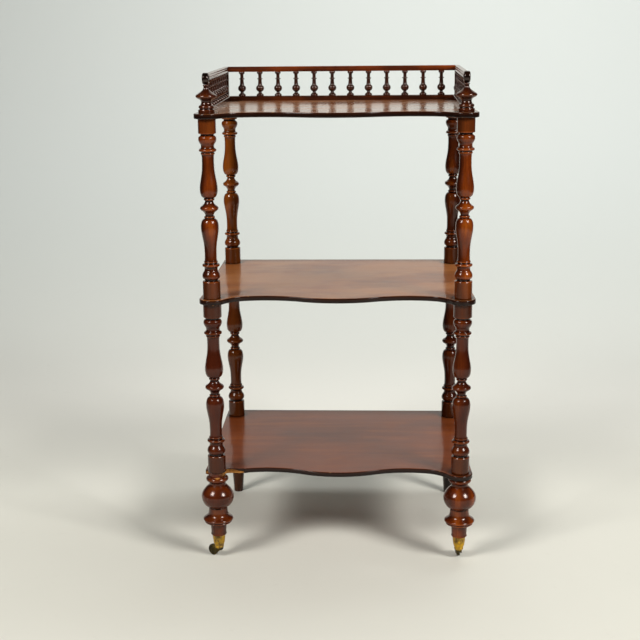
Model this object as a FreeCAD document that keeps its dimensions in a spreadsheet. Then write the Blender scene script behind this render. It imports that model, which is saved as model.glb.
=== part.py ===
import FreeCAD, Part
import Sketcher
import math
import os
from FreeCAD import Vector, Rotation, Placement

# Three-tier whatnot (etagere) with turned posts, a spindle gallery and brass
# castors on its front feet.  Millimetres, +Z up, +Y to the back.  The origin
# is on the floor, under the middle of the plan.

doc = FreeCAD.newDocument("etagere")

# ---------------------------------------------------------------- sizes
# One row per size: alias, value, what it is.
SIZES = [
    ("board_thick", 11.1, "thickness of each shelf board"),
    ("board_round", 1.8, "rounding of the board edges"),
    ("bottom_board_z", 201.4, "underside of the bottom board"),
    ("post_length", 398.1, "length of one turned post between two boards"),
    ("post_x", 280.0, "half the spacing of the posts across"),
    ("front_y", -216.2, "front row of posts"),
    ("rear_y", 211.8, "rear row of posts"),
    ("post_middle", 202.6, "height of the centre bead above the foot of a post"),
    ("upper_girth", 0.985, "girth of the upper posts against the pattern"),
    ("lower_girth", 1.03, "girth of the lower posts against the pattern"),
    ("spigot_r", 9.0, "radius of the turned spigots"),
    ("spigot_long", 22.0, "length of a spigot beyond the board"),
    ("socket_r", 9.05, "radius of the spigot sockets"),
    ("socket_deep", 24.0, "depth of the spigot sockets"),
    ("dowel_r", 5.0, "radius of the rear top dowels"),
    ("dowel_socket_r", 5.05, "radius of the holes for those dowels"),
    ("dowel_into_board", 8.0, "how far a dowel goes up into the top board"),
    # board outline, right half, measured from the front row of posts
    ("bow_y", -8.0, "front of the middle bow"),
    ("bow_end_x", 80.0, "where the bow turns hollow"),
    ("bow_end_y", 7.5, "where the bow turns hollow"),
    ("bow_round", 214.2, "radius of the bow"),
    ("hollow_end_x", 205.0, "end of the long hollow"),
    ("hollow_end_y", 18.5, "end of the long hollow"),
    ("hollow_round", 215.7, "radius of the long hollow"),
    ("neck_end_x", 252.95, "start of the corner lobe"),
    ("neck_end_y", -16.25, "start of the corner lobe"),
    ("neck_round", 72.4, "radius of the tight hollow"),
    ("lobe_end_x", 308.0, "side of the corner lobe"),
    ("lobe_end_y", -1.5, "side of the corner lobe"),
    ("lobe_round", 29.5, "radius of the corner lobe"),
    ("side_mid_x", 305.5, "side of the board behind the lobe"),
    ("side_mid_y", 60.0, "side of the board behind the lobe"),
    ("side_back_x", 306.5, "side of the board at the back"),
    ("side_back_y", 462.0, "side of the board at the back"),
    ("back_corner_x", 298.5, "start of the straight back edge"),
    ("back_corner_round", 8.0, "radius of the back corners"),
    ("back_y", 470.0, "back edge of the board"),
    ("break_x00", 219.0, "broken front left corner of the bottom board"),
    ("break_y00", -199.3, "broken front left corner of the bottom board"),
    ("break_x01", 232.0, "broken front left corner of the bottom board"),
    ("break_y01", -200.6, "broken front left corner of the bottom board"),
    ("break_x02", 246.0, "broken front left corner of the bottom board"),
    ("break_y02", -200.0, "broken front left corner of the bottom board"),
    ("break_x03", 258.0, "broken front left corner of the bottom board"),
    ("break_y03", -201.0, "broken front left corner of the bottom board"),
    ("break_x04", 262.4, "broken front left corner of the bottom board"),
    ("break_y04", -206.5, "broken front left corner of the bottom board"),
    ("break_x05", 264.0, "broken front left corner of the bottom board"),
    ("break_y05", -217.5, "broken front left corner of the bottom board"),
    ("break_x06", 269.0, "broken front left corner of the bottom board"),
    ("break_y06", -226.5, "broken front left corner of the bottom board"),
    ("break_x07", 279.0, "broken front left corner of the bottom board"),
    ("break_y07", -233.4, "broken front left corner of the bottom board"),
    ("break_x08", 289.5, "broken front left corner of the bottom board"),
    ("break_y08", -230.5, "broken front left corner of the bottom board"),
    ("break_x09", 296.0, "broken front left corner of the bottom board"),
    ("break_y09", -222.5, "broken front left corner of the bottom board"),
    ("break_x10", 299.0, "broken front left corner of the bottom board"),
    ("break_y10", -213.0, "broken front left corner of the bottom board"),
    ("break_x11", 306.0, "broken front left corner of the bottom board"),
    ("break_y11", -208.0, "broken front left corner of the bottom board"),
    ("break_clear_x", 330.0, "how far the missing corner is cleared to the side"),
    ("break_clear_y", 262.0, "how far the missing corner is cleared to the front"),
    # gallery
    ("gallery_back_y", 238.8, "middle of the back gallery"),
    ("gallery_corner_x", 288.0, "middle of the gallery at the back corners"),
    ("low_rail_wide", 18.0, "width of the bottom rails"),
    ("low_rail_high", 11.1, "height of the bottom rails"),
    ("low_rail_round", 1.6, "rounded top edges of the bottom rails"),
    ("top_rail_z", 1101.6, "underside of the top rails"),
    ("top_rail_high", 12.7, "height of the top rails"),
    ("top_rail_half", 7.0, "half the width of the top rails"),
    ("stile_wide", 12.0, "corner stiles, square"),
    ("stile_pin_r", 3.0, "pins on the stile ends"),
    ("stile_pin_long", 6.0, "pins on the stile ends"),
    ("spindle_pitch_back", 45.3, "spacing of the back spindles"),
    ("spindle_pitch_side", 45.5, "spacing of the side spindles"),
    ("tenon_r", 2.4, "round tenons on the spindles"),
    ("tenon_long", 5.5, "length of the spindle tenons"),
    ("fit_gap", 0.05, "radial gap in the glued holes"),
    ("drum_r", 12.4, "radius of the scroll drums"),
    ("drum_long", 14.0, "length of the scroll drums"),
    ("drum_round", 3.8, "rounded rims of the drums"),
    ("drum_z", 1104.5, "middle of the drums"),
    ("rail_tenon_r", 3.0, "round tenon from a side rail into its drum"),
    ("finial_pin_r", 3.0, "pin on top of a finial"),
    ("finial_pin_top", 1099.5, "top of that pin"),
    ("screw_r", 1.9, "gallery screws"),
    ("screw_long", 18.0, "length of the gallery screws"),
    ("screw_head_r", 3.6, "head of the gallery screws"),
    # castors
    ("peg_foot_z", 30.5, "lower end of the foot tenon in the castor cup"),
    ("peg_foot_r", 9.6, "radius there"),
    ("peg_top_r", 13.4, "radius of the foot tenon at its shoulder"),
    ("peg_shoulder_z", 56.4, "shoulder of the foot above the cup"),
    ("recess_r", 6.6, "recess in the foot tenon for the riveted pintle"),
    ("recess_top_z", 36.0, "top of that recess"),
    ("cup_foot_z", 23.0, "underside of the cup"),
    ("cup_floor_z", 30.45, "inside floor of the cup"),
    ("cup_rim_z", 56.3, "rim of the cup"),
    ("pintle_r", 3.5, "pintle of the swivel"),
    ("pintle_bore_r", 3.57, "bore of the cup for the pintle"),
    ("pintle_top_z", 33.6, "riveted top of the pintle"),
    ("crown_top_z", 22.9, "top of the horn under the cup"),
    ("wheel_r", 13.0, "radius of the castor wheel"),
    ("wheel_half", 4.2, "half the width of the wheel"),
    ("wheel_bore_r", 1.86, "bore of the wheel"),
    ("axle_r", 1.8, "axle of the wheel"),
    ("axle_head_r", 2.9, "riveted heads of the axle"),
    ("trail", 19.0, "offset of the wheel behind the swivel"),
    ("horn_inner", 4.6, "half the gap between the horn cheeks"),
    ("horn_outer", 6.8, "half the width over the horn cheeks"),
    ("left_trail_turn", 144.0, "direction the left castor trails, degrees from +X"),
    ("right_trail_turn", 90.0, "direction the right castor trails, degrees from +X"),
]

# Turned patterns: height, radius, and the arc that ends at the point
# (plus for a hollow, minus for a swell, None for a straight).
POST_HALF = [
    (0.00, 20.60, None), (3.00, 19.50, -4.70), (5.40, 16.40, -7.60),
    (8.80, 12.40, 60.00), (12.60, 10.20, 11.00), (15.80, 9.40, 7.00),
    (17.00, 9.60, None), (17.60, 11.20, None), (19.80, 12.00, -2.50),
    (21.80, 11.30, -2.40), (22.40, 10.80, None), (23.60, 13.40, None),
    (26.60, 16.70, -24.00), (33.23, 19.14, -23.41), (41.00, 20.00, -45.49),
    (51.55, 19.36, -62.14), (62.00, 17.60, -258.83), (72.96, 15.59, 1008.14),
    (84.00, 14.10, 133.09), (93.49, 13.58, 128.42), (103.00, 13.40, 464.50),
    (111.31, 13.50, 190.46), (117.20, 14.10, 41.65), (118.20, 15.10, None),
    (119.80, 15.60, -1.90), (121.40, 15.00, -1.90), (122.20, 14.50, None),
    (123.20, 14.90, None), (124.20, 17.80, None), (127.00, 19.70, -3.60),
    (129.60, 18.60, -3.60), (130.80, 16.40, None), (132.20, 15.20, 3.01),
    (134.60, 14.70, 8.06), (142.07, 16.92, 10.21), (149.50, 20.10, -18.29),
    (153.60, 20.00, -9.50), (157.60, 17.60, -6.20), (159.20, 15.00, None),
    (162.00, 15.00, None), (163.00, 19.20, None), (164.40, 20.00, None),
]
FOOT = [
    (56.40, 15.60, None), (57.20, 17.30, None), (59.00, 18.20, -2.60),
    (60.80, 17.80, -2.60), (62.50, 17.40, None), (68.26, 17.60, 94.77),
    (76.00, 18.00, 220.02), (83.60, 18.60, 150.00), (86.00, 19.80, 4.50),
    (87.00, 22.00, None), (88.00, 28.60, None), (89.60, 31.40, -2.80),
    (91.30, 31.20, -1.60), (92.00, 30.40, None), (92.80, 31.20, None),
    (94.20, 33.80, -4.20), (96.80, 34.60, -3.60), (99.40, 33.00, -4.20),
    (101.80, 29.40, None), (104.60, 25.90, 16.00), (108.40, 23.30, 12.00),
    (113.20, 22.10, 22.00), (119.60, 21.60, 60.00), (124.20, 21.40, None),
    (125.00, 20.80, None), (126.00, 21.80, None), (132.40, 30.40, -37.30),
    (138.60, 34.20, -37.30), (145.60, 36.60, -37.30), (153.60, 37.40, -37.30),
    (161.15, 35.75, -22.00), (168.00, 31.60, -43.71), (173.98, 26.60, -47.08),
    (178.60, 21.20, -40.73), (180.20, 19.60, None), (183.40, 18.80, 9.00),
    (186.60, 19.20, 12.00), (188.00, 20.60, None), (189.80, 22.40, 3.40),
    (191.40, 24.60, -3.60), (194.40, 25.80, -4.60), (197.60, 24.80, -5.20),
    (199.20, 22.80, -3.20), (199.90, 20.40, None), (200.60, 19.60, None),
]
REAR_LEG = [
    (0.00, 10.60, None), (0.44, 11.41, -1.33), (1.30, 11.80, -1.69),
    (43.00, 14.70, None), (60.00, 15.80, None), (90.00, 17.10, None),
    (120.00, 18.20, None), (141.00, 18.90, None), (162.00, 19.00, -424.00),
    (164.50, 17.60, None), (167.00, 17.40, None), (168.60, 19.60, None),
    (170.00, 20.00, None),
]
FINIAL = [
    (1030.90, 17.70, None), (1037.20, 17.90, None), (1038.60, 17.30, None),
    (1039.60, 15.40, None), (1041.20, 15.00, 2.33), (1043.00, 16.60, -2.60),
    (1045.60, 16.50, -4.93), (1047.61, 15.20, -4.41), (1048.60, 13.20, None),
    (1051.20, 11.60, 10.62), (1054.20, 10.80, 7.97), (1057.00, 11.40, 6.32),
    (1059.40, 13.40, 7.95), (1061.40, 16.60, 17.03), (1063.00, 19.80, -46.72),
    (1064.60, 21.80, -7.74), (1066.90, 22.80, -4.24), (1069.20, 22.10, -4.12),
    (1071.00, 20.20, -7.95), (1073.20, 17.00, -36.73), (1075.60, 13.30, 400.00),
    (1078.00, 9.90, 46.03), (1080.20, 7.50, 16.41), (1082.80, 5.90, 10.88),
    (1086.00, 5.10, 10.40), (1088.40, 5.10, None), (1089.33, 6.00, -1.13),
    (1090.40, 6.40, -3.43), (1091.27, 6.10, -3.05), (1091.90, 5.40, -1.09),
]
SPINDLE = [
    (1042.00, 8.40, None), (1042.80, 8.90, None), (1044.00, 9.00, -4.50),
    (1045.60, 8.50, -4.20), (1047.20, 6.90, -4.00), (1048.60, 5.20, None),
    (1050.00, 4.20, 3.20), (1051.20, 3.90, 3.00), (1052.40, 4.50, 2.40),
    (1053.40, 6.00, 4.80), (1056.80, 9.10, -8.52), (1061.00, 10.00, -9.10),
    (1065.20, 9.00, -8.55), (1068.00, 6.20, -7.60), (1068.60, 5.70, None),
    (1069.60, 5.40, None), (1073.50, 4.90, 40.00), (1079.00, 4.50, 120.00),
    (1082.50, 4.30, None), (1083.00, 6.10, None), (1084.20, 6.80, -1.50),
    (1085.40, 6.10, -1.50), (1085.90, 4.30, None), (1089.50, 4.00, 60.00),
    (1093.40, 4.10, 60.00), (1095.30, 4.80, 3.20), (1096.10, 5.70, None),
    (1097.60, 6.90, -2.40), (1099.60, 7.30, -4.00), (1101.60, 6.70, -4.40),
]

sheet = doc.addObject("Spreadsheet::Sheet", "Sizes")
sheet.Label = "Sizes"
VALUE = {}
ROW = [1]


def size(alias, value, note=""):
    row = ROW[0]
    ROW[0] += 1
    sheet.set("A%d" % row, note or alias.replace("_", " "))
    sheet.set("B%d" % row, repr(round(float(value), 4)))
    sheet.setAlias("B%d" % row, alias)
    VALUE[alias] = round(float(value), 4)


for alias, value, note in SIZES:
    size(alias, value, note)


def pattern(name, rows):
    for i, (h, r, bend) in enumerate(rows):
        size("%s_h%02d" % (name, i), h)
        size("%s_r%02d" % (name, i), r)
        if bend is not None:
            size("%s_bend%02d" % (name, i), abs(bend))


pattern("post", POST_HALF)
pattern("foot", FOOT)
pattern("leg", REAR_LEG)
pattern("finial", FINIAL)
pattern("spindle", SPINDLE)
doc.recompute()


class Q:
    """A number together with the expression that binds it to the sheet."""

    def __init__(self, value, text):
        self.v = float(value)
        self.t = text

    @staticmethod
    def of(x):
        return x if isinstance(x, Q) else Q(x, "%.6f" % x if x >= 0 else "(%.6f)" % x)

    def __add__(self, o):
        o = Q.of(o)
        return Q(self.v + o.v, "(%s + %s)" % (self.t, o.t))

    def __sub__(self, o):
        o = Q.of(o)
        return Q(self.v - o.v, "(%s - %s)" % (self.t, o.t))

    def __mul__(self, o):
        o = Q.of(o)
        return Q(self.v * o.v, "(%s * %s)" % (self.t, o.t))

    def __neg__(self):
        return Q(-self.v, "(-1 * %s)" % self.t)


def S(alias):
    return Q(VALUE[alias], "Sizes." + alias)


def N(x):
    return Q.of(x)


SK = []


def plane(body, role):
    for f in body.Origin.OriginFeatures:
        if getattr(f, "Role", "") == role:
            return f
    raise RuntimeError("no plane " + role)


def bind(obj, prop, q):
    if isinstance(q, Q) and "Sizes." in q.t:
        obj.setExpression(prop, q.t)


def arc_centre(p0, p1, radius, left):
    # centre of the arc from p0 to p1; left: the path turns left
    mx, my = (p0[0] + p1[0]) / 2, (p0[1] + p1[1]) / 2
    dx, dy = p1[0] - p0[0], p1[1] - p0[1]
    c = math.hypot(dx, dy)
    h = math.sqrt(max(radius * radius - c * c / 4, 0.0))
    nx, ny = -dy / c, dx / c
    s = 1.0 if left else -1.0
    return mx + s * h * nx, my + s * h * ny


def closed_sketch(body, name, role, path):
    """path: list of (x, y, bend, left); bend is the radius of the arc that
    ends at the point, or None.  The path closes by a straight."""
    sk = body.newObject("Sketcher::SketchObject", name)
    sk.AttachmentSupport = (plane(body, role), [""])
    sk.MapMode = "FlatFace"
    n = len(path)
    geo, ends = [], []
    for i in range(n):
        a, b = path[i], path[(i + 1) % n]
        p0, p1 = (a[0].v, a[1].v), (b[0].v, b[1].v)
        bend, left = b[2], b[3]
        if bend is None or (i + 1) % n == 0 and bend is None:
            geo.append(Part.LineSegment(Vector(p0[0], p0[1], 0), Vector(p1[0], p1[1], 0)))
            ends.append((1, 2))
        else:
            cx, cy = arc_centre(p0, p1, bend.v, left)
            a0 = math.atan2(p0[1] - cy, p0[0] - cx)
            a1 = math.atan2(p1[1] - cy, p1[0] - cx)
            circle = Part.Circle(Vector(cx, cy, 0), Vector(0, 0, 1), bend.v)
            if left:
                while a1 <= a0:
                    a1 += 2 * math.pi
                geo.append(Part.ArcOfCircle(circle, a0, a1))
                ends.append((1, 2))
            else:
                while a0 <= a1:
                    a0 += 2 * math.pi
                geo.append(Part.ArcOfCircle(circle, a1, a0))
                ends.append((2, 1))
    sk.addGeometry(geo, False)
    cons, names = [], []
    for i in range(n):
        j = (i + 1) % n
        cons.append(Sketcher.Constraint("Coincident", i, ends[i][1], j, ends[j][0]))
        names.append(None)
    for i in range(n):
        x, y = path[i][0], path[i][1]
        if abs(x.v) < 1e-9:
            cons.append(Sketcher.Constraint("PointOnObject", i, ends[i][0], -2))
            names.append(None)
        else:
            cons.append(Sketcher.Constraint("DistanceX", -1, 1, i, ends[i][0], x.v))
            names.append(("x%02d" % i, x))
        if abs(y.v) < 1e-9:
            cons.append(Sketcher.Constraint("PointOnObject", i, ends[i][0], -1))
            names.append(None)
        else:
            cons.append(Sketcher.Constraint("DistanceY", -1, 1, i, ends[i][0], y.v))
            names.append(("y%02d" % i, y))
        bend = path[(i + 1) % n][2]
        if bend is not None:
            cons.append(Sketcher.Constraint("Radius", i, bend.v))
            names.append(("bend%02d" % i, bend))
    sk.addConstraint(cons)
    for k, item in enumerate(names):
        if item is not None and "Sizes." in item[1].t:
            sk.renameConstraint(k, item[0])
            sk.setExpression("Constraints." + item[0], item[1].t)
    SK.append(sk)
    return sk


PATTERNS = {}


def copy_of(name, body):
    """One more piece made to the same pattern."""
    piece = doc.addObject("Part::Compound", name)
    piece.Links = [body]
    return piece


def turned(name, path):
    """A piece turned about its own Z axis from a closed half profile."""
    key = tuple((x.t, y.t, b.t if b is not None else "", l) for x, y, b, l in path)
    if key not in PATTERNS:
        body = doc.addObject("PartDesign::Body", name + "_body")
        sk = closed_sketch(body, name + "_profile", "XZ_Plane", path)
        doc.recompute()
        rev = body.newObject("PartDesign::Revolution", name + "_turning")
        rev.Profile = sk
        rev.ReferenceAxis = (sk, ["V_Axis"])
        rev.Angle = 360
        sk.Visibility = False
        body.Tip = rev
        PATTERNS[key] = body
    return copy_of(name, PATTERNS[key])


def rows_up(name, rows, scale=None, offset=None, flip=False, first=0):
    """Points of a pattern, going up (or, flipped, going up to its start)."""
    out = []
    idx = list(range(len(rows)))
    if not flip:
        for i in idx[first:]:
            h, r = S("%s_h%02d" % (name, i)), S("%s_r%02d" % (name, i))
            if offset is not None:
                h = offset + h
            if scale is not None:
                r = r * scale
            bend = None
            left = True
            if rows[i][2] is not None and i > first:
                bend = S("%s_bend%02d" % (name, i))
                left = rows[i][2] < 0
            out.append((r, h, bend, left))
    else:
        # mirrored: the arc that ended at i + 1 now ends at i
        for i in reversed(idx):
            h, r = S("%s_h%02d" % (name, i)), S("%s_r%02d" % (name, i))
            h = offset - h
            if scale is not None:
                r = r * scale
            bend = None
            left = True
            if i + 1 < len(rows) and rows[i + 1][2] is not None:
                bend = S("%s_bend%02d" % (name, i + 1))
                left = rows[i + 1][2] < 0
            out.append((r, h, bend, left))
    return out


def fuse_tools(label, tools):
    if len(tools) == 1:
        return tools[0]
    f = doc.addObject("Part::MultiFuse", label)
    f.Shapes = tools
    return f


def cut(label, base, tools):
    c = doc.addObject("Part::Cut", label)
    c.Base = base
    c.Tool = fuse_tools(label + "_tools", tools)
    return c


def fuse(label, parts):
    f = doc.addObject("Part::MultiFuse", label)
    f.Shapes = parts
    f.Refine = True
    return f


def cylinder(name, r, h, at, rot=None):
    c = doc.addObject("Part::Cylinder", name)
    c.Radius, c.Height = N(r).v, N(h).v
    bind(c, "Radius", N(r))
    bind(c, "Height", N(h))
    c.Placement = Placement(Vector(*[N(q).v for q in at]), rot or Rotation())
    for axis, q in zip("xyz", at):
        bind(c, "Placement.Base." + axis, N(q))
    return c


def box(name, size3, at, rot=None):
    b = doc.addObject("Part::Box", name)
    b.Length, b.Width, b.Height = [N(q).v for q in size3]
    for prop, q in zip(("Length", "Width", "Height"), size3):
        bind(b, prop, N(q))
    b.Placement = Placement(Vector(*[N(q).v for q in at]), rot or Rotation())
    return b


def put(obj, x, y, z, rot=None):
    obj.Placement = Placement(Vector(N(x).v, N(y).v, N(z).v), rot or Rotation())
    for axis, q in zip("xyz", (x, y, z)):
        bind(obj, "Placement.Base." + axis, N(q))
    return obj


def group(label, shapes):
    f = doc.addObject("Part::Feature", label)
    f.Shape = Part.makeCompound([s for c in shapes for s in c.Solids])
    return f


NODES = {}


def node(name, obj):
    obj.Label = name
    NODES[name] = obj
    return obj


RZ = lambda deg: Rotation(Vector(0, 0, 1), deg)
MIRROR_SIDES = (("left", -1.0), ("right", 1.0))
ZERO = N(0)

board_t = S("board_thick")
z_bottom = S("bottom_board_z")
z_bottom_top = z_bottom + board_t
z_middle = z_bottom_top + S("post_length")
z_middle_top = z_middle + board_t
z_top = z_middle_top + S("post_length")
z_top_top = z_top + board_t
X, YF, YR = S("post_x"), S("front_y"), S("rear_y")

# ---------------------------------------------------------------- boards


def board_pattern():
    body = doc.addObject("PartDesign::Body", "board")
    name = "board"
    half = [
        (ZERO, S("bow_y"), None, True),
        (S("bow_end_x"), S("bow_end_y"), S("bow_round"), True),
        (S("hollow_end_x"), S("hollow_end_y"), S("hollow_round"), False),
        (S("neck_end_x"), S("neck_end_y"), S("neck_round"), False),
        (S("lobe_end_x"), S("lobe_end_y"), S("lobe_round"), True),
        (S("side_mid_x"), S("side_mid_y"), None, True),
        (S("side_back_x"), S("side_back_y"), None, True),
        (S("back_corner_x"), S("back_y"), S("back_corner_round"), True),
    ]
    path = [(x, y + YF, b, l) for x, y, b, l in half]
    # left half, walked back to the bow
    left_half = []
    rev = list(reversed(half))
    for k, (x, y, b, l) in enumerate(rev[:-1]):
        prev = rev[k - 1] if k else None
        bend = prev[2] if prev is not None else None
        turn = prev[3] if prev is not None else True
        left_half.append((-x, y + YF, bend, turn))
    path += left_half
    # the arc that ends at the first point is the left half of the bow
    path[0] = (ZERO, S("bow_y") + YF, S("bow_round"), True)
    sk = closed_sketch(body, name + "_outline", "XY_Plane", path)
    doc.recompute()
    pad = body.newObject("PartDesign::Pad", name + "_plate")
    pad.Profile = sk
    pad.Length = board_t.v
    pad.setExpression("Length", board_t.t)
    body.Tip = pad
    doc.recompute()
    edges = []
    for i, e in enumerate(pad.Shape.Edges):
        zs = [v.Z for v in e.Vertexes]
        if len(zs) == 2 and abs(zs[0] - zs[1]) < 1e-6:
            edges.append("Edge%d" % (i + 1))
    fil = body.newObject("PartDesign::Fillet", name + "_edge")
    fil.Base = (pad, edges)
    fil.Radius = S("board_round").v
    fil.setExpression("Radius", S("board_round").t)
    body.Tip = fil
    return body


BOARD = board_pattern()


def board(name, z, holes):
    """holes: (x, y, radius, depth or None for through), from the underside."""
    piece = copy_of(name, BOARD)
    put(piece, ZERO, ZERO, z)
    tools = []
    for k, (x, y, r, depth) in enumerate(holes):
        h = board_t + N(2.0) if depth is None else depth + N(1.0)
        tools.append(cylinder("%s_hole%02d" % (name, k), r, h, (x, y, z - N(1.0))))
    return piece, tools


SR = S("socket_r")
four = [(-X, YF, SR, None), (X, YF, SR, None), (-X, YR, SR, None), (X, YR, SR, None)]

body, tools = board("bottom_board", z_bottom, four)

# the front left corner of the bottom board has split off along the grain,
# and a ragged lobe of it is left gripped between the post and the foot
broken = doc.addObject("PartDesign::Body", "broken_corner")
BREAKS = 12
ragged = [(-S("break_x%02d" % k), S("break_y%02d" % k), None, True) for k in range(BREAKS)]
ragged += [
    (-S("break_clear_x"), S("break_y%02d" % (BREAKS - 1)), None, True),
    (-S("break_clear_x"), -S("break_clear_y"), None, True),
    (-S("break_x00"), -S("break_clear_y"), None, True),
]
sk = closed_sketch(broken, "broken_corner_line", "XY_Plane", ragged)
doc.recompute()
pad = broken.newObject("PartDesign::Pad", "broken_corner_block")
pad.Profile = sk
pad.Length = (board_t + N(4.0)).v
pad.setExpression("Length", (board_t + N(4.0)).t)
broken.Tip = pad
gone = copy_of("broken_corner_piece", broken)
put(gone, ZERO, ZERO, z_bottom - N(2.0))
tools.append(gone)
node("bottom_shelf", cut("bottom_shelf", body, tools))
body, tools = board("middle_board", z_middle, four)
node("middle_shelf", cut("middle_shelf", body, tools))

# gallery screw positions
pb, ps = S("spindle_pitch_back"), S("spindle_pitch_side")
GC, GY = S("gallery_corner_x"), S("gallery_back_y")
run_y = GY - YF
TOE = math.degrees(math.atan2(GC.v - X.v, run_y.v))
screw_xy = [(pb * k, GY) for k in (-5, -3, 0, 3, 5)]
for side, sgn in MIRROR_SIDES:
    for k in (1.5, 4.5, 8.5):
        yy = YF + ps * k
        # along the toed-out side
        frac = (k * ps.v) / run_y.v
        xx = X + (GC - X) * frac
        screw_xy.append((xx * sgn, yy))

DS = S("dowel_socket_r")
top_holes = [
    (-X, YF, SR, None), (X, YF, SR, None),
    (-X, YR, DS, S("dowel_into_board") + N(0.5)), (X, YR, DS, S("dowel_into_board") + N(0.5)),
]
top_holes += [(x, y, S("screw_r") + S("fit_gap"), None) for x, y in screw_xy]
body, tools = board("top_board", z_top, top_holes)
for k, (x, y) in enumerate(screw_xy):
    c = doc.addObject("Part::Cone", "top_sink%02d" % k)
    c.Radius1, c.Radius2, c.Height = S("screw_head_r").v + 0.05, S("screw_r").v + 0.05, 2.6
    c.setExpression("Radius1", (S("screw_head_r") + S("fit_gap")).t)
    c.setExpression("Radius2", (S("screw_r") + S("fit_gap")).t)
    put(c, x, y, z_top + N(-0.001))
    tools.append(c)
node("top_shelf", cut("top_shelf", body, tools))

# ---------------------------------------------------------------- posts
L = S("post_length")
SD = S("socket_deep")


def post(name, girth, bottom, top, top_r):
    """bottom: 'spigot' or 'socket'; top_r: radius of the top socket."""
    base = board_t + S("spigot_long") if bottom == "spigot" else ZERO
    path = []
    if bottom == "spigot":
        path.append((ZERO, ZERO, None, True))
        path.append((S("spigot_r") - N(0.8), ZERO, None, True))
        path.append((S("spigot_r"), N(0.8), None, True))
        path.append((S("spigot_r"), base, None, True))
    else:
        path.append((ZERO, SD, None, True))
        path.append((SR, SD, None, True))
        path.append((SR, ZERO, None, True))
    r_end = S("post_r%02d" % (len(POST_HALF) - 1)) * girth
    path.append((r_end, base, None, True))
    mid = base + S("post_middle")
    path += rows_up("post", POST_HALF, girth, mid, flip=True)
    path += rows_up("post", POST_HALF, girth, mid, first=0)[1:]
    end = base + L
    path.append((r_end, end, None, True))
    path.append((top_r, end, None, True))
    path.append((top_r, end - SD, None, True))
    path.append((ZERO, end - SD, None, True))
    return turned(name, path)


for side, sgn in MIRROR_SIDES:
    for row, y in (("front", YF), ("rear", YR)):
        b = post("lower_%s_%s" % (row, side), S("lower_girth"), "socket", True, SR)
        put(b, X * sgn, y, z_bottom_top)
        node("lower_post_%s_%s" % (row, side), b)
        b = post("upper_%s_%s" % (row, side), S("upper_girth"), "spigot", True,
                 SR if row == "front" else DS)
        put(b, X * sgn, y, z_middle - S("spigot_long"))
        node("upper_post_%s_%s" % (row, side), b)

# rear top dowels
dow = []
for side, sgn in MIRROR_SIDES:
    c = cylinder("rear_dowel_" + side, S("dowel_r"), S("spigot_long") + S("dowel_into_board"),
                 (X * sgn, YR, z_top - S("spigot_long")))
    dow.append(c)
doc.recompute()
comp = doc.addObject("Part::Compound", "rear_top_dowels")
comp.Links = dow
node("rear_top_dowels", comp)

# ---------------------------------------------------------------- feet
spig_top = z_bottom + board_t + S("spigot_long")


def spigot_cap(path, shoulder_z, top_z):
    path.append((S("spigot_r"), shoulder_z, None, True))
    path.append((S("spigot_r"), top_z - N(0.8), None, True))
    path.append((S("spigot_r") - N(0.8), top_z, None, True))
    path.append((ZERO, top_z, None, True))


for side, sgn in MIRROR_SIDES:
    path = [
        (ZERO, S("recess_top_z"), None, True),
        (S("recess_r"), S("recess_top_z"), None, True),
        (S("recess_r"), S("peg_foot_z"), None, True),
        (S("peg_foot_r"), S("peg_foot_z"), None, True),
        (S("peg_top_r"), S("peg_shoulder_z"), None, True),
    ]
    path += rows_up("foot", FOOT)
    path.append((S("foot_r%02d" % (len(FOOT) - 1)), z_bottom, None, True))
    spigot_cap(path, z_bottom, spig_top)
    b = turned("foot_" + side, path)
    put(b, X * sgn, YF, ZERO)
    hole = cylinder("foot_screw_hole_" + side, N(1.35), N(8.0),
                    (X * sgn, YF - N(13.9), N(45.0)), Rotation(Vector(1, 0, 0), -90))
    node("front_foot_" + side, cut("front_foot_" + side, b, [hole]))

    path = [(ZERO, ZERO, None, True)]
    path += rows_up("leg", REAR_LEG)
    path.append((S("leg_r%02d" % (len(REAR_LEG) - 1)), z_bottom, None, True))
    spigot_cap(path, z_bottom, spig_top)
    b = turned("leg_" + side, path)
    put(b, X * sgn, YR, ZERO)
    node("rear_leg_" + side, b)

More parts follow.
